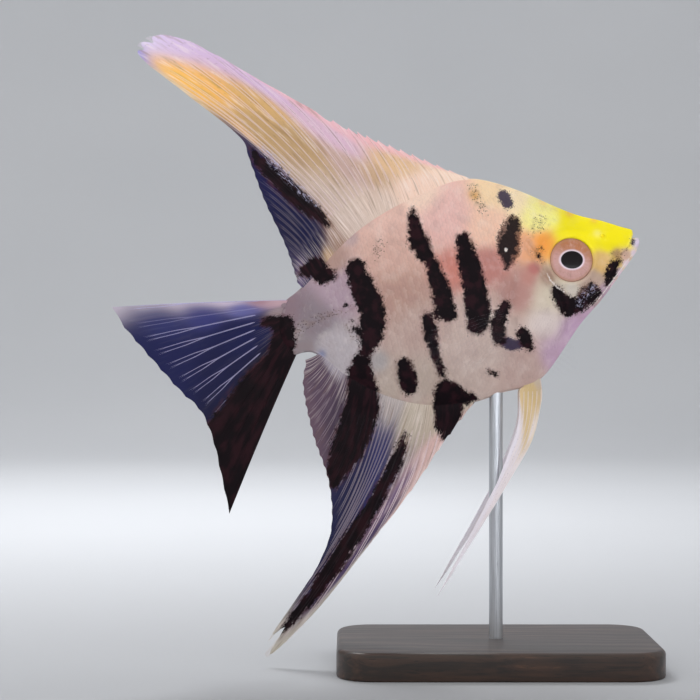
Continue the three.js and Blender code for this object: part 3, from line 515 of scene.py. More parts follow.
def evenly(points, shares):
    """Points at shares of the length of the smooth curve through points."""
    dense = curve(points, np.linspace(0, 1, 40 * len(points)))
    run = np.concatenate([[0], np.cumsum(np.linalg.norm(np.diff(dense, axis=0), axis=1))])
    return read(dense, run, np.asarray(shares) * run[-1])


def offset(points, distance):
    """Points of a line moved sideways, to the right of its own direction."""
    points = np.array(points, float)
    run = unit(np.gradient(points, axis=0))
    return points + np.stack([run[:, 1], -run[:, 0]], -1) * distance


def to_line(back, up, points):
    """Distance to a line through points, the side (above 0 to its right) and the share along it."""
    a, b = points[:-1], points[1:]
    run = b - a
    length = np.linalg.norm(run, axis=1)
    px, py = back[..., None] - a[:, 0], up[..., None] - a[:, 1]
    t = np.clip((px * run[:, 0] + py * run[:, 1]) / length**2, 0, 1)
    dx, dy = px - t * run[:, 0], py - t * run[:, 1]
    distance = np.hypot(dx, dy)
    k = distance.argmin(-1)[..., None]
    cross = (dx * run[:, 1] - dy * run[:, 0]) / length
    starts = np.cumsum(length) - length
    share = (starts + t * length) / length.sum()
    pick = lambda table: np.take_along_axis(table, k, -1)[..., 0]
    return pick(distance), np.sign(pick(cross)), pick(share)


# ---- form of the body ----

CHEEK_SAMPLES = evenly(CHEEK_LINE, np.linspace(0, 1, 25))
GILL_SAMPLES = evenly(GILL_EDGE, np.linspace(0, 1, 41))
JAW_SAMPLES = evenly(JAW_LINE, np.linspace(0, 1, 15))
MOUTH_SAMPLES = evenly(MOUTH_LINE, np.linspace(0, 1, 9))


def raised(distance, form):
    """Height of a ridge, or below 0 of a groove, at a distance from the line that it follows."""
    height, middle, width = form
    return height * hump(distance - middle, width)


def sunk(distance, pit):
    """Depth of a round pit at a distance from its centre."""
    depth, floor, brim = pit
    return depth * (1 - step(distance, floor, brim))


def relief(back, up):
    """Height of the face and gill forms over the plain flank."""
    long, tall = (back - SHOULDER["back"]) / SHOULDER["long"], (up - SHOULDER["up"]) / SHOULDER["tall"]
    to_eye = np.hypot(back - EYE["back"], up - EYE["up"])
    height = SHOULDER["height"] * hump(np.hypot(long, tall), 1)
    height += raised(to_eye, EYE_RIM) + raised(to_eye, EYE_GROOVE) - sunk(to_eye, EYE_SOCKET)
    to_mouth, _, along = to_line(back, up, MOUTH_SAMPLES)
    height += raised(to_mouth, MOUTH_CUT) * (1 - 0.4 * along) + raised(to_mouth, LIP_ROLL) * (1 - 0.5 * along)
    to_jaw, _, along = to_line(back, up, JAW_SAMPLES)
    height += raised(to_jaw, JAW_FOLD) * (1 - along)
    to_cheek = to_line(back, up, CHEEK_SAMPLES)[0]
    height += raised(to_cheek, CHEEK_FOLD) + raised(to_cheek, CHEEK_ROLL)
    to_nostril = np.hypot(back - NOSTRIL[0], up - NOSTRIL[1])
    height += raised(to_nostril, NOSTRIL_RIM) - sunk(to_nostril, NOSTRIL_PIT)
    return height + gill_relief(back, up)


def gill_relief(back, up):
    """Height of the gill cover's free edge, its groove and the folds under the throat."""
    to_gill, side, along = to_line(back, up, GILL_SAMPLES)
    opens, closes = GILL_OPENING
    held = step(along, opens, opens + 0.06) * (1 - step(along, closes - 0.1, closes))
    inside = np.clip(1 - to_gill / GILL_COVER["reach"], 0, 1) ** 2
    cover = GILL_COVER["height"] * np.where(side < 0, inside, hump(to_gill, GILL_COVER["edge"]))
    groove = np.where(side > 0, raised(to_gill, GILL_GROOVE), 0)
    folds = sum(raised(to_gill, fold) for fold in THROAT_FOLDS) * (side < 0)
    return held * (cover + groove) + folds * step(along, 0.02, 0.1) * (1 - step(along, 0.14, 0.24))


def plain_half(back, up):
    """Half width of the plain flank, and its fullness: 1 in the middle, 0 at crown and keel."""
    top, bottom = crown(back), keel(back)
    level = np.clip((2 * up - top - bottom) / (top - bottom), -1, 1)
    edge = np.where(level > 0, smooth(CREST_HALF, back), smooth(KEEL_HALF, back))
    fullness = (1 - np.abs(level) ** FLANK_POWERS[0]) ** FLANK_POWERS[1]
    return edge + (smooth(FLANK_HALF, back) - edge) * fullness, fullness


def half_width(back, up):
    """Half width of the skin at a place of the side view."""
    back, up = np.asarray(back, float), np.asarray(up, float)
    flank, fullness = plain_half(back, up)
    return flank + relief(back, up) * np.minimum(1, 1.6 * fullness) - SKIN_INSET


def outward(back, up, side):
    """Direction out of the skin, as back, up, out."""
    d = 0.05
    slope_back = (half_width(back + d, up) - half_width(back - d, up)) / (2 * d)
    slope_up = (half_width(back, up + d) - half_width(back, up - d)) / (2 * d)
    return unit(np.stack([-slope_back, -slope_up, np.full_like(slope_up, side)], -1))


def turn(vectors):
    """Turns (back, up, out) vectors into the frame of the solids."""
    back, up, out = np.moveaxis(np.asarray(vectors, float), -1, 0)
    cos, sin = math.cos(PITCH), math.sin(PITCH)
    return np.stack([-back * cos - up * sin, out, -back * sin + up * cos], -1)


def place(points):
    """Puts (back, up, out) points, in mm, into the frame of the solids, in metres."""
    return (turn(points) + [LIP_AHEAD, 0, LIP_HEIGHT]) * MM


# ---- markings ----

def brush(back, up, strokes):
    """How far inside the nearest stroke a place is, in mm; below 0 outside."""
    depth = np.full(back.shape, OUTSIDE)
    for stroke in strokes:
        for (b0, u0, r0), (b1, u1, r1) in zip(stroke[:-1], stroke[1:]):
            run = np.array([b1 - b0, u1 - u0])
            t = np.clip(((back - b0) * run[0] + (up - u0) * run[1]) / (run @ run + 1e-9), 0, 1)
            distance = np.hypot(back - b0 - t * run[0], up - u0 - t * run[1])
            depth = np.maximum(depth, r0 + (r1 - r0) * t - distance)
    return depth


def hue_blend(x, y, hues):
    """Colour at each place, blended from the hues around it."""
    skin = bpy.context.scene.angelfish_skin
    total, weight = np.zeros(x.shape + (3,)), np.zeros(x.shape)
    for name, hue_x, hue_y, reach in hues:
        colour = linear(name) if name[0] == "#" else getattr(skin, name)
        nearness = (1 + ((x - hue_x) ** 2 + (y - hue_y) ** 2) / (1.6 * reach**2)) ** -3.5
        total += nearness[..., None] * np.array(colour)
        weight += nearness
    return total / weight[..., None]


def markings(back, up, out, tint):
    """Attributes of the marks and colours; on the left side long waves bend and shift the marks."""
    left = step(out, -0.3, 0.3)
    shift = 1.9 * np.sin(up / 7.3 + 0.8) + 0.9 * np.sin(back / 5.1) * step(back, 18, 30)
    rise = 1.6 * np.sin(back / 8.7 + 2.1) * step(back, 12, 30)
    b, u = back + left * shift, up + left * rise
    return {"tint": tint, **{key: brush(b, u, strokes) for key, strokes in BRUSHWORK.items()}}


# ---- meshes ----

ATTRIBUTE_KINDS = {1: ("FLOAT", "value"), 3: ("FLOAT_VECTOR", "vector"), 4: ("FLOAT_COLOR", "color")}


def write_attributes(mesh, attributes):
    """Writes a number, a vector or a colour for each vertex under each name."""
    for name, values in attributes.items():
        values = np.asarray(values, np.float32)
        if name == "tint":
            values = np.column_stack([values, np.ones(len(values), np.float32)])
        kind, field = ATTRIBUTE_KINDS[values[0].size]
        mesh.attributes.new(name, kind, "POINT").data.foreach_set(field, values.ravel())


def make_piece(name, points, faces, finish=None, attributes=None, edges=(), crease=None):
    """A new object at the origin, its points in metres."""
    mesh = bpy.data.meshes.new(name)
    mesh.from_pydata(np.asarray(points).tolist(), list(edges), [tuple(face) for face in faces])
    write_attributes(mesh, attributes or {})
    if len(faces):
        mesh.shade_smooth()
        if crease:
            mesh.set_sharp_from_angle(angle=math.radians(crease))
    if finish:
        mesh.materials.append(finish)
    piece = bpy.data.objects.new(name, mesh)
    bpy.context.scene.collection.objects.link(piece)
    return piece


def hand_over(piece, slot, *nodes):
    """Ties a finished piece to the model."""
    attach(piece, "root")
    if nodes:
        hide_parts(*nodes)


def grid_faces(rows, columns):
    """Quads over a grid of points numbered row by row."""
    i, j = np.meshgrid(np.arange(rows - 1), np.arange(columns - 1), indexing="ij")
    a = (i * columns + j).ravel()
    return np.stack([a, a + columns, a + columns + 1, a + 1], -1)


def facing_out(points, faces):
    """Faces of three or four corners, turned round if they enclose the volume from inside."""
    a, b, c, d = (points[[face[k] for face in faces]] for k in (0, 1, 2, -1))
    volume = np.einsum("ij,ij->", a, np.cross(b, c)) + np.einsum("ij,ij->", a, np.cross(c, d))
    return faces if volume > 0 else [face[::-1] for face in faces]


def closed_sheet(one, other):
    """Points and faces of the body between two grids of points, closed round its rim."""
    rows, columns = one.shape[:2]
    count = rows * columns
    points = np.concatenate([one.reshape(-1, 3), other.reshape(-1, 3)])
    face = grid_faces(rows, columns)
    number = np.arange(count).reshape(rows, columns)
    rim = np.concatenate([number[0, :-1], number[:-1, -1], number[-1, :0:-1], number[:0:-1, 0]])
    after = np.roll(rim, -1)
    side = np.stack([rim, after, after + count, rim + count], -1)
    faces = np.concatenate([face, face[:, ::-1] + count, side])
    return points, facing_out(points, faces)


def unwrap(mesh, at):
    """Writes the bake map, from a place for each vertex."""
    layer = mesh.uv_layers.new(name="OFBake")
    corners = np.empty(len(mesh.loops), np.int32)
    mesh.loops.foreach_get("vertex_index", corners)
    layer.data.foreach_set("uv", at[corners].astype(np.float32).ravel())


# ---- node trees ----

class Number:
    """A socket that Python's operators work on; each operator adds a Math node."""

    def __init__(self, graph, socket):
        self.graph, self.socket = graph, socket

    def maths(self, operation, *values, clamp=False):
        settings = {"operation": operation, "use_clamp": clamp}
        return Number(self.graph, self.graph.put("ShaderNodeMath", settings, dict(enumerate(values))))

    def __add__(self, other):
        return self.maths("ADD", self, other)

    def __sub__(self, other):
        return self.maths("SUBTRACT", self, other)

    def __rsub__(self, other):
        return self.maths("SUBTRACT", other, self)

    def __mul__(self, other):
        return self.maths("MULTIPLY", self, other)

    def __truediv__(self, other):
        return self.maths("DIVIDE", self, other)

    def __pow__(self, other):
        return self.maths("POWER", self, other)

    __radd__, __rmul__ = __add__, __mul__

    def clamp(self):
        return self.maths("ADD", self, 0.0, clamp=True)

    def most(self, other):
        return self.maths("MAXIMUM", self, other)

    def absolute(self):
        return self.maths("ABSOLUTE", self)

    def root(self):
        return self.maths("SQRT", self.most(0.0))

    def between(self, low, high):
        """Eases from 0 at low to 1 at high."""
        settings = {"interpolation_type": "SMOOTHSTEP"}
        values = {"Value": self, "From Min": low, "From Max": high}
        return Number(self.graph, self.graph.put("ShaderNodeMapRange", settings, values))


class Graph:
    """A node tree, with one way to add any node."""

    def __init__(self, tree):
        self.tree = tree

    def add(self, kind, settings=None, values=None):
        node = self.tree.nodes.new(kind)
        for name, setting in (settings or {}).items():
            setattr(node, name, setting)
        for name, value in (values or {}).items():
            self.feed(self.socket(node, name), value)
        return node

    def put(self, kind, settings=None, values=None):
        """Adds a node and hands back its first output."""
        return self.add(kind, settings, values).outputs[0]

    def socket(self, node, name):
        if isinstance(name, int):
            return node.inputs[name]
        exact = [s for s in node.inputs if s.identifier == name]
        return (exact or [s for s in node.inputs if s.name == name and s.enabled])[0]

    def feed(self, socket, value):
        if isinstance(value, Number):
            value = value.socket
        if isinstance(value, bpy.types.NodeSocket):
            self.tree.links.new(value, socket)
        elif socket.type == "RGBA" and len(value) == 3:
            socket.default_value = (*value, 1)
        else:
            socket.default_value = value

    def axes(self, vector):
        outputs = self.add("ShaderNodeSeparateXYZ", None, {0: vector}).outputs
        return [Number(self, output) for output in outputs]

    def vector(self, x=0.0, y=0.0, z=0.0):
        return self.put("ShaderNodeCombineXYZ", None, {0: x, 1: y, 2: z})


class Growth(Graph):
    """A geometry node tree that grows pieces on a bed."""

    def __init__(self, name, **inputs):
        super().__init__(bpy.data.node_groups.new(name, "GeometryNodeTree"))
        for label, kind in {"Bed": "Geometry", **inputs, "Finish": "Material"}.items():
            self.tree.interface.new_socket(label, in_out="INPUT", socket_type=f"NodeSocket{kind}")
        self.tree.interface.new_socket("Grown", in_out="OUTPUT", socket_type="NodeSocketGeometry")
        self.given = self.add("NodeGroupInput").outputs

    def read(self, name, kind="FLOAT"):
        socket = self.put("GeometryNodeInputNamedAttribute", {"data_type": kind}, {"Name": name})
        return Number(self, socket) if kind == "FLOAT" else socket

    def store(self, geometry, name, value, kind="FLOAT", domain="POINT"):
        values = {"Geometry": geometry, "Name": name, "Value": value}
        return self.put("GeometryNodeStoreNamedAttribute", {"data_type": kind, "domain": domain}, values)

    def end(self, geometry):
        """Turns what has grown into one plain mesh in its finish."""
        geometry = self.put("GeometryNodeRealizeInstances", None, {0: geometry})
        values = {"Geometry": geometry, "Material": self.given["Finish"]}
        self.add("NodeGroupOutput", None, {0: self.put("GeometryNodeSetMaterial", None, values)})
        return self.tree


class Paint(Graph):
    """The node tree of a finish."""

    def __init__(self, name):
        self.material = bpy.data.materials.new(name)
        self.material.use_nodes = True
        super().__init__(self.material.node_tree)
        self.shader = self.tree.nodes["Principled BSDF"]

    def attribute(self, name, output="Fac"):
        socket = self.add("ShaderNodeAttribute", {"attribute_name": name}).outputs[output]
        return Number(self, socket) if output == "Fac" else socket

    def millimetres(self):
        at = self.add("ShaderNodeTexCoord").outputs["Object"]
        return self.put("ShaderNodeVectorMath", {"operation": "SCALE"}, {0: at, "Scale": 1 / MM})

    def noise(self, at, scale, detail=3.0, roughness=0.5, distortion=0.0):
        values = {"Vector": at, "Scale": scale, "Detail": detail, "Roughness": roughness}
        values["Distortion"] = distortion
        return Number(self, self.put("ShaderNodeTexNoise", None, values))

    def cells(self, at, scale):
        """Distance to the nearest cell's centre, and that cell's own random number."""
        outputs = self.add("ShaderNodeTexVoronoi", None, {"Vector": at, "Scale": scale}).outputs
        return Number(self, outputs["Distance"]), self.axes(outputs["Color"])[0]

    def mix(self, a, b, share):
        values = {"Factor_Float": share, "A_Color": a, "B_Color": b}
        return self.add("ShaderNodeMix", {"data_type": "RGBA"}, values).outputs[2]

    def coats(self, colour, *coats):
        """Lays coats over a colour, one after another: each a colour and how much of it covers."""
        for over, share in coats:
            colour = self.mix(colour, linear(over) if isinstance(over, str) else over, share)
        return colour

    def bump(self, height, strength, distance, level=None):
        """Relief over the surface, or over the level direction given for it."""
        values = {"Height": height, "Strength": strength, "Distance": distance * MM}
        if level:
            values["Normal"] = level
        return self.put("ShaderNodeBump", None, values)

    def finish(self, colour, roughness, **others):
        values = {"Base Color": colour, "Roughness": roughness}
        values.update({name.replace("_", " "): value for name, value in others.items()})
        for name, value in values.items():
            self.feed(self.socket(self.shader, name), value)
        return self.material


def dots(paint, at, scale, coverage):
    """Soft round dots, as many as the coverage asks for."""
    distance, chance = paint.cells(at, scale)
    return (coverage - chance).between(0.0, 0.12) * distance.between(0.52, 0.26)


def ragged(paint, at, depth, wander=1.0):
    """Mask of a mark that frays at its edge, from its depth in mm."""
    depth = depth + (paint.noise(at, 0.8, 3.0, 0.55) - 0.5) * (2.6 * wander)
    fray = (paint.noise(at, 3.0, 3.0, 0.65) - 0.5) * 2.0
    return (depth + fray).between(-0.3, 0.3).most(dots(paint, at, 3.2, depth.between(-1.2, 0.4) * 0.5) * 0.8)


def marked(paint, colour, at, dark=1.0):
    """Lays the faint, violet, mottled, dark, frosted and pale marks over a colour, in that order; the pale
    marks include painted highlights along the cheek fold and the crest ridge.
    """
    skin = bpy.context.scene.angelfish_skin
    faint = paint.attribute("faint").between(-0.9, 0.5)
    mottle, depth = paint.attribute("mottle"), paint.attribute("ink")
    halo = depth.between(-1.0, 0.2) * paint.noise(at, 1.1, 3.0).between(0.38, 0.62)
    ink = ragged(paint, at, depth)
    warm = paint.mix(skin.mark, linear("#2e121a"), paint.noise(at, 0.45, 2.0).between(0.42, 0.66) * 0.7)
    frosted = paint.noise(at, 2.0, 3.0, 0.75, 0.6).between(0.52, 0.6)
    frost = paint.attribute("frost").between(-0.6, 0.4) * frosted
    # pale flecks and lines, and painted highlights along two ridges, frayed by noise
    pale = paint.attribute("pale") + (paint.noise(at, 2.2, 2.0) - 0.5) * 0.4
    colour = paint.coats(
        colour,
        ("#86695c", faint * paint.noise(at, 0.9, 3.0).between(0.42, 0.62) * 0.3),
        ("#3a2620", dots(paint, at, 3.0, faint * 0.5) * 0.75),
        (skin.violet, ragged(paint, at, paint.attribute("violet"), 0.4) * 0.94),
        ("#4a2624", ragged(paint, at, mottle + 0.3, 0.6) * 0.8),
        (skin.mark, ragged(paint, at, mottle - 0.35, 1.9) * 0.94),
        ("#5a2e2c", halo * 0.6), (warm, ink * dark), ("#c4c0dc", frost * 0.75),
        # pale coat: pale flecks and lines, and painted highlights along the cheek fold and the crest ridge
        ("#f8eee8", pale.between(-0.12, 0.1) * 0.9),
    )
    return colour, ink


def skin_finish(name, scaled):
    """Pearly skin; on scales each plate has its own tone and a dusky free edge."""
    paint = Paint(name)
    at = paint.millimetres()
    tint = paint.attribute("tint", "Color")
    calm = paint.axes(tint)[2].between(0.02, 0.3) * 0.8 + 0.2
    patchy, grain = paint.noise(at, 0.33, 4.0), paint.noise(at, 5.5, 2.0)
    coats = [
        ("#fff4ec", patchy.between(0.5, 0.72) * calm * 0.16),
        ("#a0807e", patchy.between(0.5, 0.3) * calm * 0.14),
        ("#8a6a60", grain.between(0.56, 0.72) * calm * 0.14),
    ]
    height, level = grain * 0.35 + paint.noise(at, 1.6, 3.0) * 0.5, None
    if scaled:
        tone, rim = paint.attribute("tone"), paint.attribute("rim")
        coats += [
            ("#fff6f2", tone.between(0.4, 1.0) * calm * 0.07),
            ("#a27f82", tone.between(0.5, 0.0) * calm * 0.06),
            ("#7d666c", rim.between(0.7, 1.0) * calm * 0.09),
        ]
        height, level = height - rim.between(0.5, 1.0) * 1.2, paint.attribute("level", "Vector")
    else:
        height = height + paint.cells(at, 1.9)[0] * 0.3
    colour, ink = marked(paint, paint.coats(tint, *coats), at)
    return paint.finish(
        colour, 0.4 + grain * 0.12 + ink * 0.06, Normal=paint.bump(height, 0.2, 0.04, level),
        Coat_Weight=(1 - ink) * SKIN_COAT, Coat_Roughness=COAT_ROUGHNESS, Specular_IOR_Level=SHEEN,
    )


# ---- skin ----

def stations():
    """Places along the body where the skin has a ring of points, closest together at the lips."""
    gaps = list(FIRST_GAPS)
    while SKIN_START + sum(gaps) < SKIN_END:
        gaps.append(float(straight(STATION_GAPS, SKIN_START + sum(gaps))))
    return SKIN_START + np.concatenate([[0], np.cumsum(gaps)])


def edge_cap(back, up, half, edge):
    """Columns of points that round one flank off along its keel (edge 0) or its crown (edge -1)."""
    run = np.stack([back[:, edge], up[:, edge]], -1)
    ahead = unit(np.gradient(run, axis=0))
    out = np.stack([ahead[:, 1], -ahead[:, 0]], -1) * (1 if edge == 0 else -1)
    angles = np.linspace(0, np.pi / 2, CAP_COLUMNS + 1)[1:]
    reach = np.maximum(half[:, edge], 0.2)[:, None] * EDGE_ROUNDING * np.sin(angles)
    closing = np.append(np.cos(angles[:-1]), 0)
    return (
        run[:, None, 0] + out[:, None, 0] * reach,
        run[:, None, 1] + out[:, None, 1] * reach,
        half[:, edge][:, None] * closing,
    )


def skin_grid():
    """Points of one flank: stations from the lips to the tail root, columns from keel to crown."""
    base = stations()
    share = np.linspace(0, 1, COLUMNS)
    low, high = keel(base)[:, None], crown(base)[:, None]
    back = np.repeat(base[:, None], COLUMNS, 1)
    up = low + (high - low) * share
    lip_share, lip_back, lip_up = np.array(LIP_FRONT).T
    front = (1 - step(base, SKIN_START, LIPS_END))[:, None]
    root = evenly(TAIL_ROOT, share)
    rear = step(base, ROOT_START, base[-1])[:, None]
    shift_back = front * (np.interp(share, lip_share, lip_back) - back[0])
    shift_back += rear * (root[:, 0] + ROOT_BEYOND - back[-1])
    shift_up = front * (np.interp(share, lip_share, lip_up) - up[0])
    shift_up += rear * (root[:, 1] * ROOT_SQUEEZE - up[-1])
    back, up = back + shift_back, up + shift_up
    half = half_width(back, np.clip(up, keel(back), crown(back)))
    from_lips = np.clip((back - back[0]) / LIP_ROUNDING, 0, 1)
    to_root = np.clip((back[-1] - back) / ROOT_ROUNDING, 0, 1)
    half *= np.sqrt(1 - (1 - from_lips) ** 2) * (0.3 * (to_root > 0) + 0.7 * step(to_root, -0.1, 1))
    half[0], half[-1] = 0, 0
    keel_cap = [part[:, ::-1] for part in edge_cap(back, up, half, 0)]
    crown_cap = edge_cap(back, up, half, -1)
    return [np.concatenate(parts, 1) for parts in zip(keel_cap, (back, up, half), crown_cap)]


def skin_map(back, up, half):
    """Places on the bake map of the right flank: length along, girth upwards."""
    along = np.cumsum(np.hypot(*np.gradient(np.stack([back.mean(1), up.mean(1)]), axis=1)))
    steps = np.sqrt(np.diff(back, axis=1) ** 2 + np.diff(up, axis=1) ** 2 + np.diff(half, axis=1) ** 2)
    girth = np.concatenate([np.zeros((len(back), 1)), np.cumsum(steps, axis=1)], 1)
    v = 0.5 + (girth - girth[:, -1:] / 2) / girth[:, -1].max() * MAP_GIRTH
    u = MAP_MARGIN + MAP_LENGTH * (along / along[-1])[:, None] * np.ones_like(v)
    return np.stack([u, v], -1)


def make_skin():
    """One closed skin: rings round the body, which end in a seam at the lips and at the tail root."""
    back, up, half = skin_grid()
    rows, columns = back.shape
    left_columns = slice(columns - 2, 0, -1)
    right = np.stack([back, up, -half], -1)
    left = np.stack([back, up, half], -1)[:, left_columns]
    ring = np.concatenate([right, left], 1)
    number = np.arange(rows * ring.shape[1]).reshape(rows, -1)
    mirror = np.concatenate([np.arange(columns), np.arange(columns)[left_columns]])
    number[0], number[-1] = number[0][mirror], number[-1][mirror]
    around = np.concatenate([number, number[:, :1]], 1)
    corners = around[:-1, :-1], around[1:, :-1], around[1:, 1:], around[:-1, 1:]
    used, faces = np.unique(np.stack(corners, -1).reshape(-1, 4), return_inverse=True)
    spots = ring.reshape(-1, 3)[used]
    points = place(spots)
    faces = facing_out(points, faces.reshape(-1, 4))
    attributes = markings(*spots.T, hue_blend(spots[:, 0], spots[:, 1], BODY_HUES))
    skin = make_piece("skin", points, faces, skin_finish("pearly_skin", scaled=False), attributes)
    flank_map = skin_map(back, up, half)
    both = np.concatenate([flank_map, flank_map[:, left_columns] + [MAP_HALF, 0]], 1).reshape(-1, 2)
    unwrap(skin.data, both[used])
    hand_over(skin, "skin", "head", "lower_jaw", "gill_cover_right", "gill_cover_left", "trunk", "tail_stalk")


# ---- scales ----

def scale_tree():
    """Node tree that sets a rounded plate on each point, lying back along the body."""
    g = Growth("scale_coat", Length="Float", Thickness="Float", Seed="Int")
    length, thickness, seed = (Number(g, g.given[name]) for name in ("Length", "Thickness", "Seed"))
    cube = g.put("GeometryNodeMeshCube", None, {"Vertices X": 5, "Vertices Y": 4, "Vertices Z": 2})
    steep = g.axes(g.put("GeometryNodeInputNormal"))[2].absolute()
    broad = steep.maths("GREATER_THAN", steep, 0.5)
    cube = g.put("GeometryNodeSetShadeSmooth", None, {0: cube, "Shade Smooth": broad})
    spot = g.put("GeometryNodeInputPosition")
    x, y, z = g.axes(spot)
    behind, ahead = x.most(0.0) * PLATE["tip"], (x * -1).most(0.0) * PLATE["root"]
    wide = (1 - behind * behind).root() * (1 - PLATE["least"]) + PLATE["least"]
    narrow = (1 - ahead * ahead).root()
    arch, lift = (y * y) * -PLATE["arch"], (x + 0.5) * PLATE["lift"]
    shaped = g.vector(x, y * wide * narrow * PLATE["width"], z * (thickness / length) + arch + lift)
    plate = g.store(cube, "patch", spot, "FLOAT_VECTOR")
    plate = g.store(plate, "rim", ((x + 0.5) ** 2.0).most(y.absolute() * 1.7))
    plate = g.put("GeometryNodeSetPosition", None, {"Geometry": plate, "Position": shaped})
    turned = g.put(
        "FunctionNodeAxesToRotation", {"primary_axis": "Z", "secondary_axis": "X"},
        {"Primary Axis": g.read("outward", "FLOAT_VECTOR"), "Secondary Axis": g.read("lie", "FLOAT_VECTOR")},
    )

    def draw(low, high, kind):
        values = {"Min_001": low, "Max_001": high, "Seed": seed + kind}
        return Number(g, g.add("FunctionNodeRandomValue", {"data_type": "FLOAT"}, values).outputs[1])

    size = draw(0.93, 1.07, 0) * g.read("size") * length
    values = {"Points": g.given["Bed"], "Instance": plate, "Rotation": turned}
    coat = g.put("GeometryNodeInstanceOnPoints", None, {**values, "Scale": g.vector(size, size, size)})
    return g.end(g.store(coat, "tone", draw(0.0, 1.0, 1), domain="INSTANCE"))


def grow(bed, tree, **inputs):
    """Runs a node tree on a bed and keeps the result as the bed's own plain mesh."""
    modifier = bed.modifiers.new("grow", "NODES")
    modifier.node_group = tree
    identifiers = {item.name: item.identifier for item in tree.interface.items_tree if item.in_out == "INPUT"}
    for name, value in inputs.items():
        modifier[identifiers[name]] = value
    depsgraph = bpy.context.evaluated_depsgraph_get()
    grown = bed.evaluated_get(depsgraph)
    mesh = bpy.data.meshes.new_from_object(grown, preserve_all_data_layers=True, depsgraph=depsgraph)
    bed.modifiers.clear()
    bed.data = mesh
    mesh.name = bed.name
    if not mesh.polygons:
        raise RuntimeError(f"{bed.name} grew nothing")
    return bed


def scale_roots(pitch, on_face):
    """Staggered places of the scales on the side view, clear of the lips, jaw and eye."""
    rows = np.arange(*SCALE_ROWS, pitch * 0.5)
    back, up = np.meshgrid(np.arange(*SCALE_RUN, pitch), rows)
    back = back + (np.arange(len(rows)) % 2)[:, None] * pitch / 2
    back, up = back.ravel(), up.ravel()
    shift = np.random.default_rng(SCATTER_SEED + on_face)
    back = back + shift.normal(0, pitch * SCALE_SCATTER[0], back.shape)
    up = up + shift.normal(0, pitch * SCALE_SCATTER[1], up.shape)
    keep = (up < crown(back) - 0.25) & (up > keel(back) + 0.25)
    to_gill, side, _ = to_line(back, up, GILL_SAMPLES)
    behind = (side > 0) | (up > 17) & (back > 25.5)
    if on_face:
        to_eye = np.hypot(back - EYE["back"], up - EYE["up"])
        to_cheek = to_line(back, up, CHEEK_SAMPLES)[0]
        keep &= ~behind & (to_eye > 6.9) & (back > 12.5) & (to_cheek > 0.35) & (to_gill > 0.5)
        keep &= up > keel(back) + 1.6
    else:
        keep &= behind & (to_gill > 0.1) & (back < 79.6)
    return back[keep], up[keep]


def level_share(back, up):
    """Share of the height at which a place lies, from 0 at the keel to 1 at the crown."""
    return np.clip((up - keel(back)) / (crown(back) - keel(back)), 0, 1)


def flank_spots(back, up):
    """Where places of the right flank lie on the bake map."""
    grid = skin_grid()
    stations_back = grid[0][:, grid[0].shape[1] // 2]
    station = np.clip(np.searchsorted(stations_back, back), 0, len(stations_back) - 1)
    column = (CAP_COLUMNS + level_share(back, up) * (COLUMNS - 1)).astype(int)
    return skin_map(*grid)[station, column]


def scale_bed(name, back, up, spots, side, size):
    """Points that the scales of one side grow on, with the way that each one faces and lies."""
    out = outward(back, up, side)
    lie_up = (0.5 - level_share(back, up)) * straight(SCALE_LEAN, back)
    lie = np.stack([np.ones_like(back), lie_up, np.zeros_like(back)], -1)
    lie = unit(lie - out * (lie * out).sum(-1, keepdims=True))
    roots = np.stack([back, up, side * (half_width(back, up) - SCALE_SINK)], -1)
    root_at = np.column_stack([spots, np.zeros_like(back)]) + [MAP_HALF if side == LEFT else 0, 0, 0]
    attributes = {"outward": turn(out), "lie": turn(lie), "size": size, "root_at": root_at}
    return make_piece(name, place(roots), [], attributes=attributes)


def make_scales():
    settings = bpy.context.scene.angelfish_skin
    tree = scale_tree()
    finish = skin_finish("pearly_scales", scaled=True)
    for kind, on_face, pitch in (("flank", 0, settings.scale_pitch), ("face", 1, settings.face_scale_pitch)):
        back, up = scale_roots(pitch / MM, on_face)
        spots = flank_spots(back, up)
        from_edge = np.minimum(crown(back) - up, up - keel(back))
        size = straight(SIZE_FROM_EDGE, from_edge) * straight(SIZE_ALONG, back)
        if on_face:
            size = np.full_like(size, pitch / settings.scale_pitch * FACE_SCALE_SIZE)
        for side in (RIGHT, LEFT):
            bed = scale_bed(f"{kind}_scales_{SIDE_NAMES[side]}", back, up, spots, side, size)
            grow(
                bed, tree, Length=settings.scale_length, Thickness=settings.scale_thickness,
                Seed=settings.scale_seed + side + 4 * on_face, Finish=finish,
            )
            dress(bed)
            hand_over(bed, "skin")


def spots_of(mesh):
    """Every vertex of a finished mesh as back, up, out in mm."""
    points = np.empty(len(mesh.vertices) * 3, np.float32)
    mesh.vertices.foreach_get("co", points)
    x, y, z = (points.reshape(-1, 3) / MM - [LIP_AHEAD, 0, LIP_HEIGHT]).T
    cos, sin = math.cos(PITCH), math.sin(PITCH)
    return -x * cos - z * sin, -x * sin + z * cos, y


def vectors_of(mesh, name):
    values = np.empty(len(mesh.vertices) * 3, np.float32)
    mesh.attributes[name].data.foreach_get("vector", values)
    return values.reshape(-1, 3)


def dress(scales):
    """Gives scales the skin's own markings and their patches on the bake map."""
    mesh = scales.data
    back, up, out = spots_of(mesh)
    attributes = markings(back, up, out, hue_blend(back, up, BODY_HUES))
    write_attributes(mesh, {**attributes, "level": turn(outward(back, up, np.sign(out.mean())))})
    for layer in list(mesh.uv_layers):
        mesh.uv_layers.remove(layer)
    unwrap(mesh, (vectors_of(mesh, "root_at") + vectors_of(mesh, "patch") * SCALE_PATCH)[:, :2])


# ---- fins ----

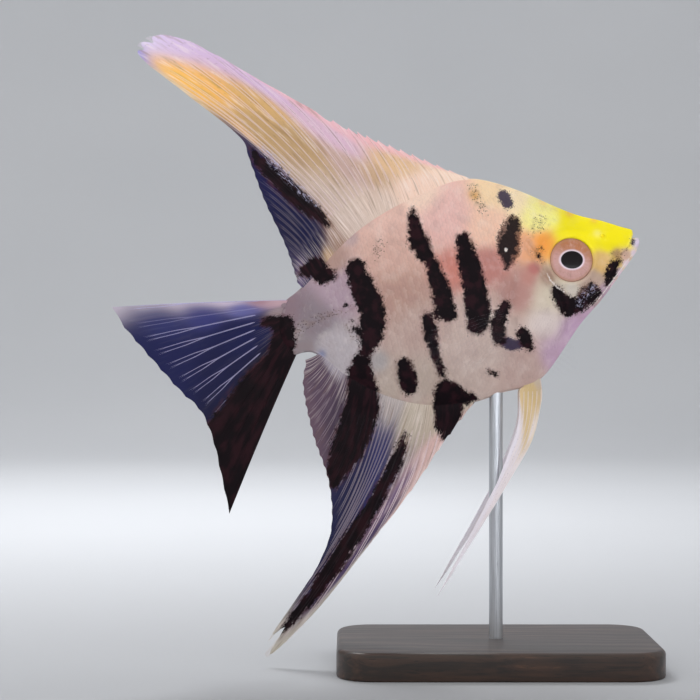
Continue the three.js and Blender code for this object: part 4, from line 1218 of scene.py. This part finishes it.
def ray_path(fin, roots_at, bow_side):
    """Surface of a fin in the middle plane: a point for each ray number and share of its length."""
    def at(q, t):
        root = roots_at(q)
        tip = np.stack([smooth(fin["tips"], q, 1), smooth(fin["tips"], q, 2)], -1)
        run = tip - root
        length = np.linalg.norm(run, axis=-1)
        bow = np.stack([-run[..., 1], run[..., 0]], -1) * fin["bow"] * bow_side
        flat = root + run * t[..., None] + bow * (4 * t * (1 - t))[..., None]
        out = fin["sway"] * (length / SWAY_LENGTH) ** 2 * t
        return np.concatenate([flat, out[..., None]], -1), length
    return at


def outline_roots(fin, line, side):
    """Roots along an outline of the body, the spines over their own share of it."""
    backs = np.linspace(fin["from"], fin["to"], 81)
    outline = offset(np.stack([backs, line(backs)], -1), side * GAP)
    last, spines = fin["rays"] - 1, fin["spines"]

    def at(q):
        stiff = fin["spine_share"] * q / (spines - 1)
        soft = fin["spine_share"] + (1 - fin["spine_share"]) * (q - spines + 1) / (last - spines + 1)
        share = np.where(q <= spines - 1, stiff, soft)
        return evenly(outline, share.ravel()).reshape(q.shape + (2,))
    return at


def ray_numbers(fin):
    """Ray numbers of the spines, and of the soft rays, which stand closer than the solids' ridges."""
    spines, last = fin.get("spines", 0), fin["rays"] - 1
    count = fin.get("soft_rays", fin["rays"])
    if not spines:
        return np.array([]), np.linspace(0, last, count)
    return np.arange(spines, dtype=float), spines - 1 + (last - spines + 1) * np.arange(1, count + 1) / count


def from_ray(q, rays):
    """How far a ray number is from the nearest ray: 0 on it, about 1 midway between two."""
    return np.abs(q[..., None] - rays).min(-1) / (rays[1:] - rays[:-1]).mean() * 2


def web_end(fin, q, length):
    """Share of the ray's length at which the web ends; spines and rays stand a little beyond it."""
    gap = from_ray(q, np.concatenate(ray_numbers(fin)))
    beyond = np.where(q < fin.get("spines", 0) - 0.5, SPINE_BEYOND, RAY_BEYOND)
    end = 1 - np.minimum(0.3, beyond / length) * np.clip(gap, 0, 1) ** 0.8
    for number, width, depth in fin.get("notches", ()):
        end = end - depth * hump(q - number, width)
    return end


def fin_face(fin, at):
    """Places of a fin's web: ray numbers, shares, ray lengths, middle plane and half thickness."""
    rays = np.concatenate(ray_numbers(fin))
    between = [rays[:-1] + (rays[1:] - rays[:-1]) * k for k in (0.2, 0.4, 0.6, 0.8)]
    columns = np.unique(np.concatenate([rays] + between))
    share, q = np.meshgrid(np.linspace(0, 1, fin.get("rows", 46)) ** 1.1, columns, indexing="ij")
    _, length = at(q, np.zeros_like(q))
    start, end = -fin.get("sunk", 1.3) / length, web_end(fin, q, length)
    t = start + share * (end - start)
    middle, _ = at(q, t)
    swell = 1 - step(np.maximum(t, 0) * length, 0, fin.get("reach", SHEATH_REACH))
    web = bpy.context.scene.angelfish_fins.web_thickness / MM / 2
    at_root = (fin["root_half"] - ROOT_PLAY - web) * swell
    thick = web * (1.2 - 0.3 * np.clip(from_ray(q, rays), 0, 1)) + at_root
    return q, t, length, middle, thick * (1 - 0.35 * share**6)


def make_web(name, fin, at, hues, finish, thickness=(0, 0, 1), ink=None, clear=None):
    """A fin's web: two faces, as far apart along the direction of its thickness as it is thick."""
    q, t, length, middle, half = fin_face(fin, at)
    faces = [place(middle + np.array(thickness, float) * (half * sign)[..., None]) for sign in (1, -1)]
    double = lambda table: np.concatenate([table.ravel(), table.ravel()])
    back, up = double(middle[..., 0]), double(middle[..., 1])
    out = np.concatenate([(middle[..., 2] + half).ravel(), (middle[..., 2] - half).ravel()])
    attributes = fin_markings(back, up, out, double(q), double(t), hues, ink, clear)
    attributes["ray"], attributes["reach"] = double(q), double(np.maximum(t, 0) * length)
    return make_piece(name, *closed_sheet(*faces), finish, attributes, crease=50)


def fin_markings(back, up, out, q, t, hues, ink, clear):
    """Attributes of a fin's marks and colours; its hues follow the rays."""
    spread = [(colour, number, share * RAY_SPREAD, reach) for colour, number, share, reach in hues]
    attributes = markings(back, up, out, hue_blend(q, t * RAY_SPREAD, spread))
    if ink is UNMARKED:
        attributes.update({name: np.full(back.shape, OUTSIDE) for name in BRUSHWORK})
    elif ink:
        attributes["ink"] = np.maximum(attributes["ink"], ink(q, t))
    attributes["clear"] = clear(q, t) if clear else np.zeros_like(back)
    return attributes


def ray_tree():
    """Node tree that turns the edges of a bed into tapered round rays."""
    g = Growth("fin_rays", Sides="Int")
    ring = g.put("GeometryNodeCurvePrimitiveCircle", None, {"Resolution": g.given["Sides"], "Radius": 1.0})
    values = {
        "Curve": g.put("GeometryNodeMeshToCurve", None, {"Mesh": g.given["Bed"]}), "Profile Curve": ring,
        "Scale": g.read("stout"), "Fill Caps": True,
    }
    rays = g.put("GeometryNodeCurveToMesh", None, values)
    return g.end(g.put("GeometryNodeSetShadeSmooth", None, {0: rays, "Shade Smooth": True}))


def ray_strands(fin, forks=FORKS):
    """Strands as (ray numbers, shares, thickness, stiff): spines single, soft rays forked twice."""
    stiff, soft = ray_numbers(fin)
    t = np.linspace(-0.02, 1, 26)
    strands = [(np.full_like(t, number), t, 1 - SPINE_TAPER * np.clip(t, 0, 1), True) for number in stiff]
    spacing = (soft[-1] - soft[0]) / max(len(soft) - 1, 1)
    for number in soft:
        for shift_one, shift_two in FORKED:
            if shift_one == 0:
                t = np.linspace(-0.02, forks[0] + 0.01, 18)
            elif shift_two > 0:
                t = np.linspace(forks[0], 1, 22)
            else:
                t = np.linspace(forks[1], 1, 11)
            first, second = (step(t, fork, fork + run) for fork, run in zip(forks, FORK_RUNS))
            q = number + spacing * (shift_one * first + shift_two * second)
            stout = 1 - RAY_TAPER * np.clip(t, 0, 1)
            for fork, taper in zip(forks, FORK_TAPERS):
                stout = stout * (1 - taper * step(t, fork, 1))
            strands.append((np.clip(q, 0, fin["rays"] - 1), t, stout, False))
    return strands


def make_rays(name, strands, at, hues, finish, tree, light, ink=None, clear=None, radii=None, sides=6):
    """A fin's rays, grown as round tubes along their strands."""
    settings = bpy.context.scene.angelfish_fins
    stiff_radius, soft_radius = radii or (settings.spine_radius, settings.ray_radius)
    points, edges, stout, lengths = [], [], [], []
    for q, t, thick, is_stiff in strands:
        middle, length = at(q, t)
        first = sum(len(p) for p in points)
        points.append(middle)
        edges += [(first + k, first + k + 1) for k in range(len(t) - 1)]
        stout.append(thick * (stiff_radius if is_stiff else soft_radius))
        lengths.append(length)
    middle, stout, lengths = np.concatenate(points), np.concatenate(stout), np.concatenate(lengths)
    numbers, shares = (np.concatenate([strand[k] for strand in strands]) for k in (0, 1))
    attributes = fin_markings(*middle.T, numbers, shares, hues, ink, clear)
    attributes.update(stout=stout, ray=numbers, reach=np.maximum(shares, 0) * lengths)
    attributes["light"] = light(numbers, shares)
    bed = make_piece(name, place(middle), [], attributes=attributes, edges=edges)
    return grow(bed, tree, Sides=sides, Finish=finish)


def web_finish(name, streaks=1.0, clearer=0.0):
    """Fin web: streaked along its rays, marked, and clear where the attribute says."""
    clearness = bpy.context.scene.angelfish_fins.clearness + clearer
    paint = Paint(name)
    ray, reach = paint.attribute("ray"), paint.attribute("reach")
    streak = paint.noise(paint.vector(ray * 3.0, reach * 0.12, 0.0), 1.0, 3.0)
    cross = paint.noise(paint.vector(ray * 7.0, reach * 1.1, 3.0), 1.0, 2.0)
    comb = paint.noise(paint.vector(ray * 8.0, reach * 0.1, 6.0), 1.0, 1.0).between(0.5, 0.6)
    tint = paint.attribute("tint", "Color")
    calm = (paint.axes(tint)[1].between(0.01, 0.2) * 0.85 + 0.15) * streaks
    colour = paint.coats(
        tint,
        ("#8a6a4c", streak.between(0.52, 0.7) * 0.4 * calm),
        ("#fff3ee", streak.between(0.46, 0.3) * 0.4 * calm),
        ("#6d4a38", cross.between(0.6, 0.72) * 0.25 * calm),
        ("#fff0ea", comb * reach.between(7.5, 3.0) * 0.35 * streaks),
    )
    colour, ink = marked(paint, colour, paint.vector(ray * 2.4, reach * 0.42, 0.0))
    thin = paint.attribute("clear").clamp()
    alpha = 1 - thin * (1 - ink * 0.9) * (clearness + (streak - 0.5) * (0.2 * streaks))
    return paint.finish(
        colour, 0.45 + streak * 0.12, Alpha=alpha, Normal=paint.bump(streak, 0.15, 0.04),
        Coat_Weight=(1 - ink) * FIN_COAT, Coat_Roughness=COAT_ROUGHNESS, Specular_IOR_Level=SHEEN,
    )


def ray_finish(name, pale, seen_through=0.0):
    """Fin rays: paler than the web, jointed across, and dark where the marks cross them."""
    paint = Paint(name)
    ray, reach = paint.attribute("ray"), paint.attribute("reach")
    light = paint.attribute("light").clamp()
    joints = paint.noise(paint.millimetres(), 4.0, 2.0)
    colour = paint.coats(
        paint.attribute("tint", "Color"), (pale, light),
        ("#9a8a90", joints.between(0.55, 0.7) * (light * 0.5 + 0.1)),
    )
    colour, ink = marked(paint, colour, paint.vector(ray * 2.4, reach * 0.42, 0.0), 0.97)
    return paint.finish(
        colour, 0.42 + joints * 0.12, Alpha=1 - paint.attribute("clear").clamp() * seen_through,
        Normal=paint.bump(joints, 0.2, 0.03), Coat_Weight=(1 - ink) * FIN_COAT, Specular_IOR_Level=0.12,
    )


def dorsal_clear(q, t):
    return step(q, 21.3, 23.2) * step(t, 0.08, 0.25) * 0.08


def dorsal_light(q, t):
    return 0.4 - 0.3 * step(q, 20.5, 22.5) * step(t, 0.05, 0.2)


def anal_clear(q, t):
    front = step(q, 8.5, 9.5) * (1 - step(q, 15, 17)) * step(t, 0.08, 0.2)
    rear = step(q, 18.5, 20) * step(t, 0.04, 0.2)
    return 0.07 * np.maximum(front, rear)


def anal_light(q, t):
    lit = 0.42 + 0.3 * step(t, 0.35, 0.6) * (1 - step(q, 8.3, 9))
    return lit - 0.17 * step(q, 9, 10.5) - 0.1 * step(q, 15, 18)


def tail_clear(q, t):
    return 0.06 * step(q, 0.3, 1.6) * (1 - step(q, 8.8, 10.2)) * step(t, 0.02, 0.12)


def tail_light(q, t):
    middle = 0.4 * step(q, 1.2, 2.6) * (1 - step(q, 9, 10.2))
    return middle + 0.22 * (1 - step(q, 9.5, 11)) + 0.5 * (1 - step(q, 0.2, 0.9))


def tail_ink(q, t):
    return np.clip((q - 9.6 - 0.5 * step(t, 0.5, 1)) * 1.6, -30, 2) - 9 * (1 - step(q, 7, 9))


def tie_fin(web, rays, slot, node):
    """Ties both pieces of a fin to the model."""
    for piece in (web, rays):
        hand_over(piece, slot, node)


def make_back_fins(tree):
    """The dorsal and the anal fin."""
    rosy, rays = web_finish("rosy_web"), ray_finish("rosy_rays", "#f3dfe4")
    for name, fin, line, side, bow, hues, light, clear in (
        ("dorsal", DORSAL, crown, -1, 1, DORSAL_HUES, dorsal_light, dorsal_clear),
        ("anal", ANAL, keel, 1, -1, ANAL_HUES, anal_light, anal_clear),
    ):
        at = ray_path(fin, outline_roots(fin, line, side), bow)
        web = make_web(f"{name}_web", fin, at, hues, rosy, clear=clear)
        strands = make_rays(f"{name}_rays", ray_strands(fin), at, hues, rays, tree, light, clear=clear)
        tie_fin(web, strands, "rayed_fin", f"{name}_fin")


def make_tail_fin(tree):
    roots = offset(evenly(TAIL_ROOT, np.linspace(0, 1, TAIL["rays"])), GAP)[::-1]
    at = ray_path(TAIL, lambda q: read(roots, np.arange(len(roots)), q), 0.5)
    smoky = web_finish("smoky_web", streaks=0.18)
    blue = ray_finish("blue_rays", "#bdb9de")
    web = make_web("tail_web", TAIL, at, TAIL_HUES, smoky, ink=tail_ink, clear=tail_clear)
    strands = make_rays(
        "tail_rays", ray_strands(TAIL, TAIL["forks"]), at, TAIL_HUES, blue, tree, tail_light,
        tail_ink, tail_clear, radii=(TAIL["ray_radius"] * MM,) * 2,
    )
    tie_fin(web, strands, "tail_fin", "tail_fin")


def pelvic_path(side):
    """Surface of a pelvic fin; every ray follows the longest one, side by side."""
    backs = np.linspace(PELVIC["from"], PELVIC["to"], len(PELVIC["shares"]))
    roots = offset(np.stack([backs, keel(backs)], -1), GAP)
    dense = np.linspace(0, 1, 401)
    points = curve(np.concatenate([roots[1:2], np.array(PELVIC["lead"])]), dense)
    heading = unit(np.gradient(points, axis=0))
    total = np.linalg.norm(np.diff(points, axis=0), axis=1).sum()
    shares = np.array([0.9] + PELVIC["shares"][1:])

    def one(k, t):
        s = t * shares[k]
        near = (1 - step(s, 0, 0.1))[..., None]
        along = read(heading, dense, np.maximum(s, 0))
        aside = np.stack([-along[..., 1], along[..., 0]], -1)
        centre = read(points, dense, np.maximum(s, 0)) + along * np.minimum(s, 0)[..., None] * total
        flat = centre + (roots[k] - roots[1]) * near
        flat = flat + aside * ((k - 1) * smooth(PELVIC["spacing"], s))[..., None] * (1 - near)
        out = PELVIC["root_out"] + (roots[k][..., 1] - flat[..., 1]) * math.tan(PELVIC["splay"])
        return np.concatenate([flat, (side * out)[..., None]], -1)

    def at(q, t):
        low = np.clip(np.floor(q).astype(int), 0, len(shares) - 2)
        w = (q - low)[..., None]
        length = total * np.interp(q, np.arange(len(shares)), shares)
        return one(low, t) * (1 - w) + one(low + 1, t) * w, length
    return at


def pelvic_strands():
    """Strands of a pelvic fin: one short spine, and long rays that fork once behind the first."""
    t = np.linspace(-0.01, 0.33, 20)
    strands = [(np.zeros_like(t), t, 1.1 - t / 0.36, True)]
    for number in range(1, len(PELVIC["shares"])):
        t = np.linspace(-0.01, 1, 60)
        strands.append((np.full_like(t, number), t, 1 - 0.8 * t, False))
        if number > 1:
            t = np.linspace(0.35, 1, 36)
            strands.append((number - 0.45 * step(t, 0.35, 0.7), t, 0.75 - 0.55 * t, False))
    return strands


def make_pelvic_fins(tree):
    finish, rays = web_finish("cream_web", streaks=0.3), ray_finish("cream_rays", "#f6eef6")
    count = len(PELVIC["shares"])
    fin = {"rays": count, "soft_rays": count, "root_half": PELVIC["root_half"], "rows": 90, "sunk": 0.9}
    for side in (RIGHT, LEFT):
        at, name = pelvic_path(side), SIDE_NAMES[side]
        tilt = (0, side * math.sin(PELVIC["splay"]), math.cos(PELVIC["splay"]))
        web = make_web(f"pelvic_web_{name}", fin, at, PELVIC_HUES, finish, thickness=tilt)
        light = lambda q, t: 0.35 + 0.4 * t
        strands = make_rays(f"pelvic_rays_{name}", pelvic_strands(), at, PELVIC_HUES, rays, tree, light)
        tie_fin(web, strands, "pelvic_fin", f"pelvic_fin_{name}")


def pectoral_path(side):
    """Surface of a pectoral fin, a fan from its base on the flank, and the direction of its thickness."""
    axis, spread = (unit(np.array(PECTORAL_HELD[side][way]) * (1, 1, side)) for way in ("along", "across"))
    first, final = np.array(PECTORAL["root"])

    def at(q, t):
        share = q / (PECTORAL["rays"] - 1)
        base = first * (1 - share)[..., None] + final * share[..., None]
        out = half_width(base[..., 0], base[..., 1]) + SKIN_INSET + GAP + 0.1
        root = np.concatenate([base, (side * out)[..., None]], -1)
        angle = PECTORAL["fan"] * (1 - 2 * share)
        aside = np.abs(share - PECTORAL["longest"]) / (1 - PECTORAL["longest"])
        length = PECTORAL["length"] * (1 - (1 - PECTORAL["shortest"]) * aside**1.5)
        heading = axis * np.cos(angle)[..., None] + spread * np.sin(angle)[..., None]
        return root + heading * (length * t)[..., None], length
    return at, unit(np.cross(axis, spread))


def make_pectoral_fins(tree):
    finish = web_finish("clear_web", streaks=0.15, clearer=0.15)
    rays = ray_finish("clear_rays", "#f2eeee", seen_through=0.97)
    fin = {"rays": PECTORAL["rays"], "root_half": PECTORAL["root_half"], "rows": 30, "reach": 3, "sunk": 1.0}
    radius = bpy.context.scene.angelfish_fins.ray_radius * PECTORAL["fineness"]
    looks = {"ink": UNMARKED, "clear": lambda q, t: np.ones_like(q)}
    for side in (RIGHT, LEFT):
        (at, normal), name = pectoral_path(side), SIDE_NAMES[side]
        web = make_web(f"pectoral_web_{name}", fin, at, PECTORAL_HUES, finish, thickness=normal, **looks)
        strands = make_rays(
            f"pectoral_rays_{name}", ray_strands(fin, (0.45, 0.75)), at, PECTORAL_HUES, rays, tree,
            lambda q, t: 0.6 * step(t, 0.05, 0.3), radii=(radius, radius), sides=5, **looks,
        )
        tie_fin(web, strands, "clear_fin", f"pectoral_fin_{name}")


# ---- eyes ----

def eye_finish():
    """Painted iris under a clear gloss: oval pupil, bright ring, mauve iris with a tan rim."""
    settings = bpy.context.scene.angelfish_eyes
    paint = Paint("eye")
    across, upward = paint.attribute("across"), paint.attribute("upward")
    wide, tall = settings.pupil_width / MM / 2, settings.pupil_height / MM / 2
    oval = ((across / wide) ** 2.0 + (upward / tall) ** 2.0).root()
    radius = (across * across + upward * upward).root()
    angle = upward.maths("ARCTAN2", upward, across)
    fibres = paint.noise(paint.vector(angle * 3.2, radius * 0.35, 1.0), 2.2, 4.0)
    blotch = paint.noise(paint.vector(across, upward, 2.0), 0.7, 3.0)
    colour = paint.coats(
        settings.iris,
        (settings.brow, (upward - across * 0.25).between(-0.6, 3.2)),
        ("#c4988e", blotch.between(0.4, 0.65) * 0.4),
        ("#eac8bc", fibres.between(0.55, 0.75) * 0.3),
        ("#8a6456", fibres.between(0.45, 0.28) * 0.22),
        ("#b98a68", radius.between(3.9, 4.4) * 0.4),
        ("#80563c", radius.between(4.5, 4.72) * 0.6),
        (settings.ring, oval.between(1.27, 1.06) * 0.85),
        ("#140b10", oval.between(1.03, 0.97)),
    )
    return paint.finish(
        colour, 0.3, Normal=paint.bump(fibres, 0.12, 0.04),
        Coat_Weight=0.12, Coat_Roughness=0.05, Specular_IOR_Level=SHEEN,
    )


def eye_profile():
    """Radius and height of an eye, from the middle of its lens round to the middle of its back."""
    radius, bulge = EYE["radius"] - EYE["play"], EYE["bulge"]
    lens = [(radius * share, bulge * (1 - share**2.2)) for share in np.linspace(0, 1, 22)]
    wall = [(1.005, -0.18), (1, -0.45), (0.97, -1.1), (0.86, -1.9), (0.62, -3.1), (0, -3.4)]
    return np.array(lens + [(radius * share, height) for share, height in wall])


def turned_body(profile, axis, ahead, above, sides=96):
    """Points and faces of a body turned round an axis, from a profile that starts and ends on it."""
    turns = np.linspace(0, 2 * np.pi, sides, endpoint=False)[:, None]
    inner = profile[1:-1, :, None, None]
    rings = inner[:, 0] * (np.cos(turns) * ahead + np.sin(turns) * above) + inner[:, 1] * axis
    points = np.concatenate([[axis * profile[0, 1]], rings.reshape(-1, 3), [axis * profile[-1, 1]]])
    number = 1 + np.arange(len(rings) * sides).reshape(-1, sides)
    after = np.roll(number, -1, 1)
    quads = np.stack([number[:-1], number[1:], after[1:], after[:-1]], -1).reshape(-1, 4)
    tip, foot = np.zeros(sides, int), np.full(sides, len(points) - 1)
    caps = [np.stack([tip, number[0], after[0]], -1), np.stack([foot, after[-1], number[-1]], -1)]
    return points, [tuple(face) for group in (quads, *caps) for face in group]


def make_eyes():
    """Both eyes, sunk in their sockets and turned a little forwards."""
    finish, toe = eye_finish(), math.radians(EYE["toe_in"])
    for side in (RIGHT, LEFT):
        centre = plain_half(EYE["back"], EYE["up"])[0] - EYE["sink"]
        axis = np.array([-math.sin(toe), 0, side * math.cos(toe)])
        ahead = np.array([math.cos(toe), 0, side * math.sin(toe)])
        flat, faces = turned_body(eye_profile(), axis, ahead, np.array([0, 1.0, 0]))
        points = place(flat + [EYE["back"], EYE["up"], side * centre])
        across = flat @ ahead
        attributes = {
            "across": math.cos(PITCH) * across + math.sin(PITCH) * flat[:, 1],
            "upward": math.cos(PITCH) * flat[:, 1] - math.sin(PITCH) * across,
        }
        name = SIDE_NAMES[side]
        eye = make_piece(f"eye_{name}_painted", points, facing_out(points, faces), finish, attributes)
        hand_over(eye, "eye", f"eye_{name}")


# ---- stand ----

def wood_finish():
    paint = Paint("stained_wood")
    at = paint.millimetres()
    x, y, z = paint.axes(at)
    grain_at = paint.vector(x * 0.06, y + paint.noise(at, 0.03, 2.0) * 9, z)
    rings = paint.noise(grain_at, 0.55, 5.0, 0.6, 0.4)
    pores = paint.noise(paint.vector(x * 0.09, y, z), 3.2, 2.0)
    colour = paint.coats(
        bpy.context.scene.angelfish_stand.wood,
        ("#140c08", rings.between(0.42, 0.62) * 0.75), ("#6a4630", rings.between(0.42, 0.28) * 0.6),
        ("#0c0705", pores.between(0.6, 0.72) * 0.7),
    )
    return paint.finish(
        colour, 0.34 + rings * 0.16, Normal=paint.bump(pores + rings * 0.5, 0.2, 0.08),
        Coat_Weight=0.3, Coat_Roughness=COAT_ROUGHNESS,
    )


def steel_finish():
    paint = Paint("brushed_steel")
    x, y, z = paint.axes(paint.millimetres())
    brushed = paint.noise(paint.vector(x * 1.5, y * 1.5, z * 0.04), 3.0, 3.0)
    colour = paint.mix(linear("#c4c7cc"), linear("#8f9298"), brushed.between(0.4, 0.7) * 0.5)
    return paint.finish(colour, 0.22 + brushed * 0.22, Metallic=1.0, Normal=paint.bump(brushed, 0.12, 0.02))


def rings_body(rings):
    """Points and quads of a body through rings of points, with both ends closed by a face."""
    count, around = len(rings), len(rings[0])
    points = np.concatenate(rings)
    number = np.arange(count * around).reshape(count, around)
    after = np.roll(number, -1, 1)
    quads = np.stack([number[:-1], after[:-1], after[1:], number[1:]], -1).reshape(-1, 4)
    return points, [tuple(q) for q in quads] + [tuple(number[0][::-1]), tuple(number[-1])]


def rounded_outline(half_x, half_y, corner, steps=14):
    """Points round a rectangle with round corners."""
    parts = []
    for k, (sx, sy) in enumerate(((1, 1), (-1, 1), (-1, -1), (1, -1))):
        angles = np.linspace(0, np.pi / 2, steps) + k * np.pi / 2
        round_it = corner * np.stack([np.cos(angles), np.sin(angles)], -1)
        parts.append(round_it + [sx * (half_x - corner), sy * (half_y - corner)])
    return np.concatenate(parts)


def make_base():
    """The wooden slab, with a round top edge and a slightly round foot."""
    low, high = (np.array(c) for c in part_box("stand_base"))
    half_x, half_y, height = (high[0] - low[0]) / 2, (high[1] - low[1]) / 2, high[2] - low[2]
    top_round, foot_round = bpy.context.scene.angelfish_stand.edge_round, BASE["foot_round"] * MM
    turns = np.linspace(0, np.pi / 2, 7)
    profile = [(foot_round * (1 - math.sin(a)), foot_round * (1 - math.cos(a))) for a in turns]
    profile += [(top_round * (1 - math.cos(a)), height - top_round * (1 - math.sin(a))) for a in turns]
    profile += [(inset * MM, height) for inset in BASE["top_insets"]]
    rings = []
    for inset, z in profile:
        corner = max(BASE["corner"] * MM - inset, BASE["least_corner"] * MM)
        outline = rounded_outline(half_x - inset, half_y - inset, corner)
        rings.append(np.column_stack([outline, np.full(len(outline), z)]))
    base = make_piece("base_slab", *rings_body(rings), wood_finish(), crease=40)
    hand_over(base, "base_wood", "stand_base")


def make_rod():
    """The steel rod, let into the base and into the belly."""
    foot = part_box("stand_base")[1][2] - ROD["in_base"] * MM
    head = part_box("stand_rod")[1][2] + ROD["in_belly"] * MM
    turns = np.linspace(0, 2 * np.pi, ROD["sides"], endpoint=False)
    circle = np.column_stack([np.cos(turns), np.sin(turns)]) * bpy.context.scene.angelfish_stand.rod_radius
    levels = np.linspace(foot, head, ROD["rings"])
    rings = [np.column_stack([circle, np.full(len(circle), z)]) for z in levels]
    rod = make_piece("rod", *rings_body(rings), steel_finish(), crease=40)
    hand_over(rod, "rod_steel", "stand_rod")


# ---- stage ----

def make_floor():
    """One sheet for the floor and the wall behind, with a wide bend between them."""
    paint = Paint("studio_floor")
    mottled = paint.noise(paint.millimetres(), 0.004, 2.0)
    colour = paint.coats(bpy.context.scene.angelfish_stage.floor, ("#c6c8cc", mottled * 0.4))
    start, bend = SWEEP["bend_from"], SWEEP["bend"]
    sweep = [(SWEEP["near"], 0.0), (SWEEP["flat_to"], 0.0)]
    sweep += [(start + bend * math.sin(a), bend * (1 - math.cos(a))) for a in np.linspace(0, np.pi / 2, 24)]
    sweep += [(start + bend, SWEEP["top"])]
    across = np.linspace(-SWEEP["half_wide"], SWEEP["half_wide"], 9)
    points = np.array([(x, y, z) for y, z in sweep for x in across])
    faces = grid_faces(len(sweep), len(across))[:, ::-1]
    floor = make_piece("studio_floor", points, faces, paint.finish(colour, 0.7))


def add_to_stage(name, data, at, direction):
    """Sets out a lamp or camera at a place, turned to face along a direction."""
    thing = bpy.data.objects.new(name, data)
    thing.location = at
    x, y, z = unit(np.array(direction, float))
    thing.rotation_euler = (math.acos(-z), 0, math.atan2(-x, y))
    bpy.context.scene.collection.objects.link(thing)
    return thing


def make_stage():
    """Floor, even sky, three lamps and the camera."""
    scene = bpy.context.scene
    make_floor()
    scene.world = bpy.data.worlds.new("studio")
    scene.world.use_nodes = True
    sky = scene.world.node_tree.nodes["Background"]
    sky.inputs["Color"].default_value = (1, 0.985, 0.97, 1)
    sky.inputs["Strength"].default_value = 0.8
    for name, at, direction, size, strength in LAMPS:
        lamp = bpy.data.lights.new(name, "AREA")
        lamp.shape, lamp.size, lamp.energy = "DISK", size, scene.angelfish_stage.key_power * strength
        add_to_stage(name, lamp, at, direction)
    camera = bpy.data.cameras.new("camera")
    camera.sensor_width, camera.lens = CAMERA["sensor"], CAMERA["lens"]
    camera.clip_start, camera.clip_end = CAMERA["clip"]
    scene.camera = add_to_stage("camera", camera, CAMERA["at"], (0, 1, 0))
    scene.view_settings.view_transform = "Standard"


# ---- add-on ----

class ANGELFISH_OT_skin(bpy.types.Operator):
    """Make the skin over the flesh of the head, trunk and tail stalk"""
    bl_idname = "angelfish.skin"
    bl_label = "Skin"

    def execute(self, context):
        make_skin()
        return {"FINISHED"}


class ANGELFISH_OT_scales(bpy.types.Operator):
    """Grow the scales of both flanks and of the face"""
    bl_idname = "angelfish.scales"
    bl_label = "Scales"

    def execute(self, context):
        make_scales()
        return {"FINISHED"}


class ANGELFISH_OT_fins(bpy.types.Operator):
    """Make the dorsal, anal and tail fins, the pelvic fins and the pectoral fins"""
    bl_idname = "angelfish.fins"
    bl_label = "Fins"

    def execute(self, context):
        tree = ray_tree()
        for make in (make_back_fins, make_tail_fin, make_pelvic_fins, make_pectoral_fins):
            make(tree)
        return {"FINISHED"}


class ANGELFISH_OT_eyes(bpy.types.Operator):
    """Make both eyes"""
    bl_idname = "angelfish.eyes"
    bl_label = "Eyes"

    def execute(self, context):
        make_eyes()
        return {"FINISHED"}


class ANGELFISH_OT_stand(bpy.types.Operator):
    """Make the wooden base and the steel rod"""
    bl_idname = "angelfish.stand"
    bl_label = "Stand"

    def execute(self, context):
        make_base()
        make_rod()
        return {"FINISHED"}


class ANGELFISH_OT_stage(bpy.types.Operator):
    """Set out the floor, the studio lights and the camera"""
    bl_idname = "angelfish.stage"
    bl_label = "Stage"

    def execute(self, context):
        make_stage()
        return {"FINISHED"}


OPERATORS = (
    ANGELFISH_OT_stage, ANGELFISH_OT_skin, ANGELFISH_OT_scales, ANGELFISH_OT_fins, ANGELFISH_OT_eyes,
    ANGELFISH_OT_stand,
)


class ANGELFISH_PT_panel(bpy.types.Panel):
    """Lists the angelfish's pieces and settings"""
    bl_idname = "ANGELFISH_PT_panel"
    bl_label = "Marble Angelfish"
    bl_space_type = "VIEW_3D"
    bl_region_type = "UI"
    bl_category = "Angelfish"

    def draw(self, context):
        for operator in OPERATORS:
            self.layout.operator(operator.bl_idname)
        for group, kind in SETTINGS.items():
            box = self.layout.box()
            for key in kind.__annotations__:
                box.prop(getattr(context.scene, group), key)


def register():
    for kind in (*SETTINGS.values(), *OPERATORS, ANGELFISH_PT_panel):
        bpy.utils.register_class(kind)
    for group, kind in SETTINGS.items():
        setattr(bpy.types.Scene, group, bpy.props.PointerProperty(type=kind))


def unregister():
    for group in SETTINGS:
        delattr(bpy.types.Scene, group)
    for kind in reversed((*SETTINGS.values(), *OPERATORS, ANGELFISH_PT_panel)):
        bpy.utils.unregister_class(kind)


def main():
    register()
    for operator in OPERATORS:
        family, name = operator.bl_idname.split(".")
        getattr(getattr(bpy.ops, family), name)()


if __name__ == "__main__":
    main()
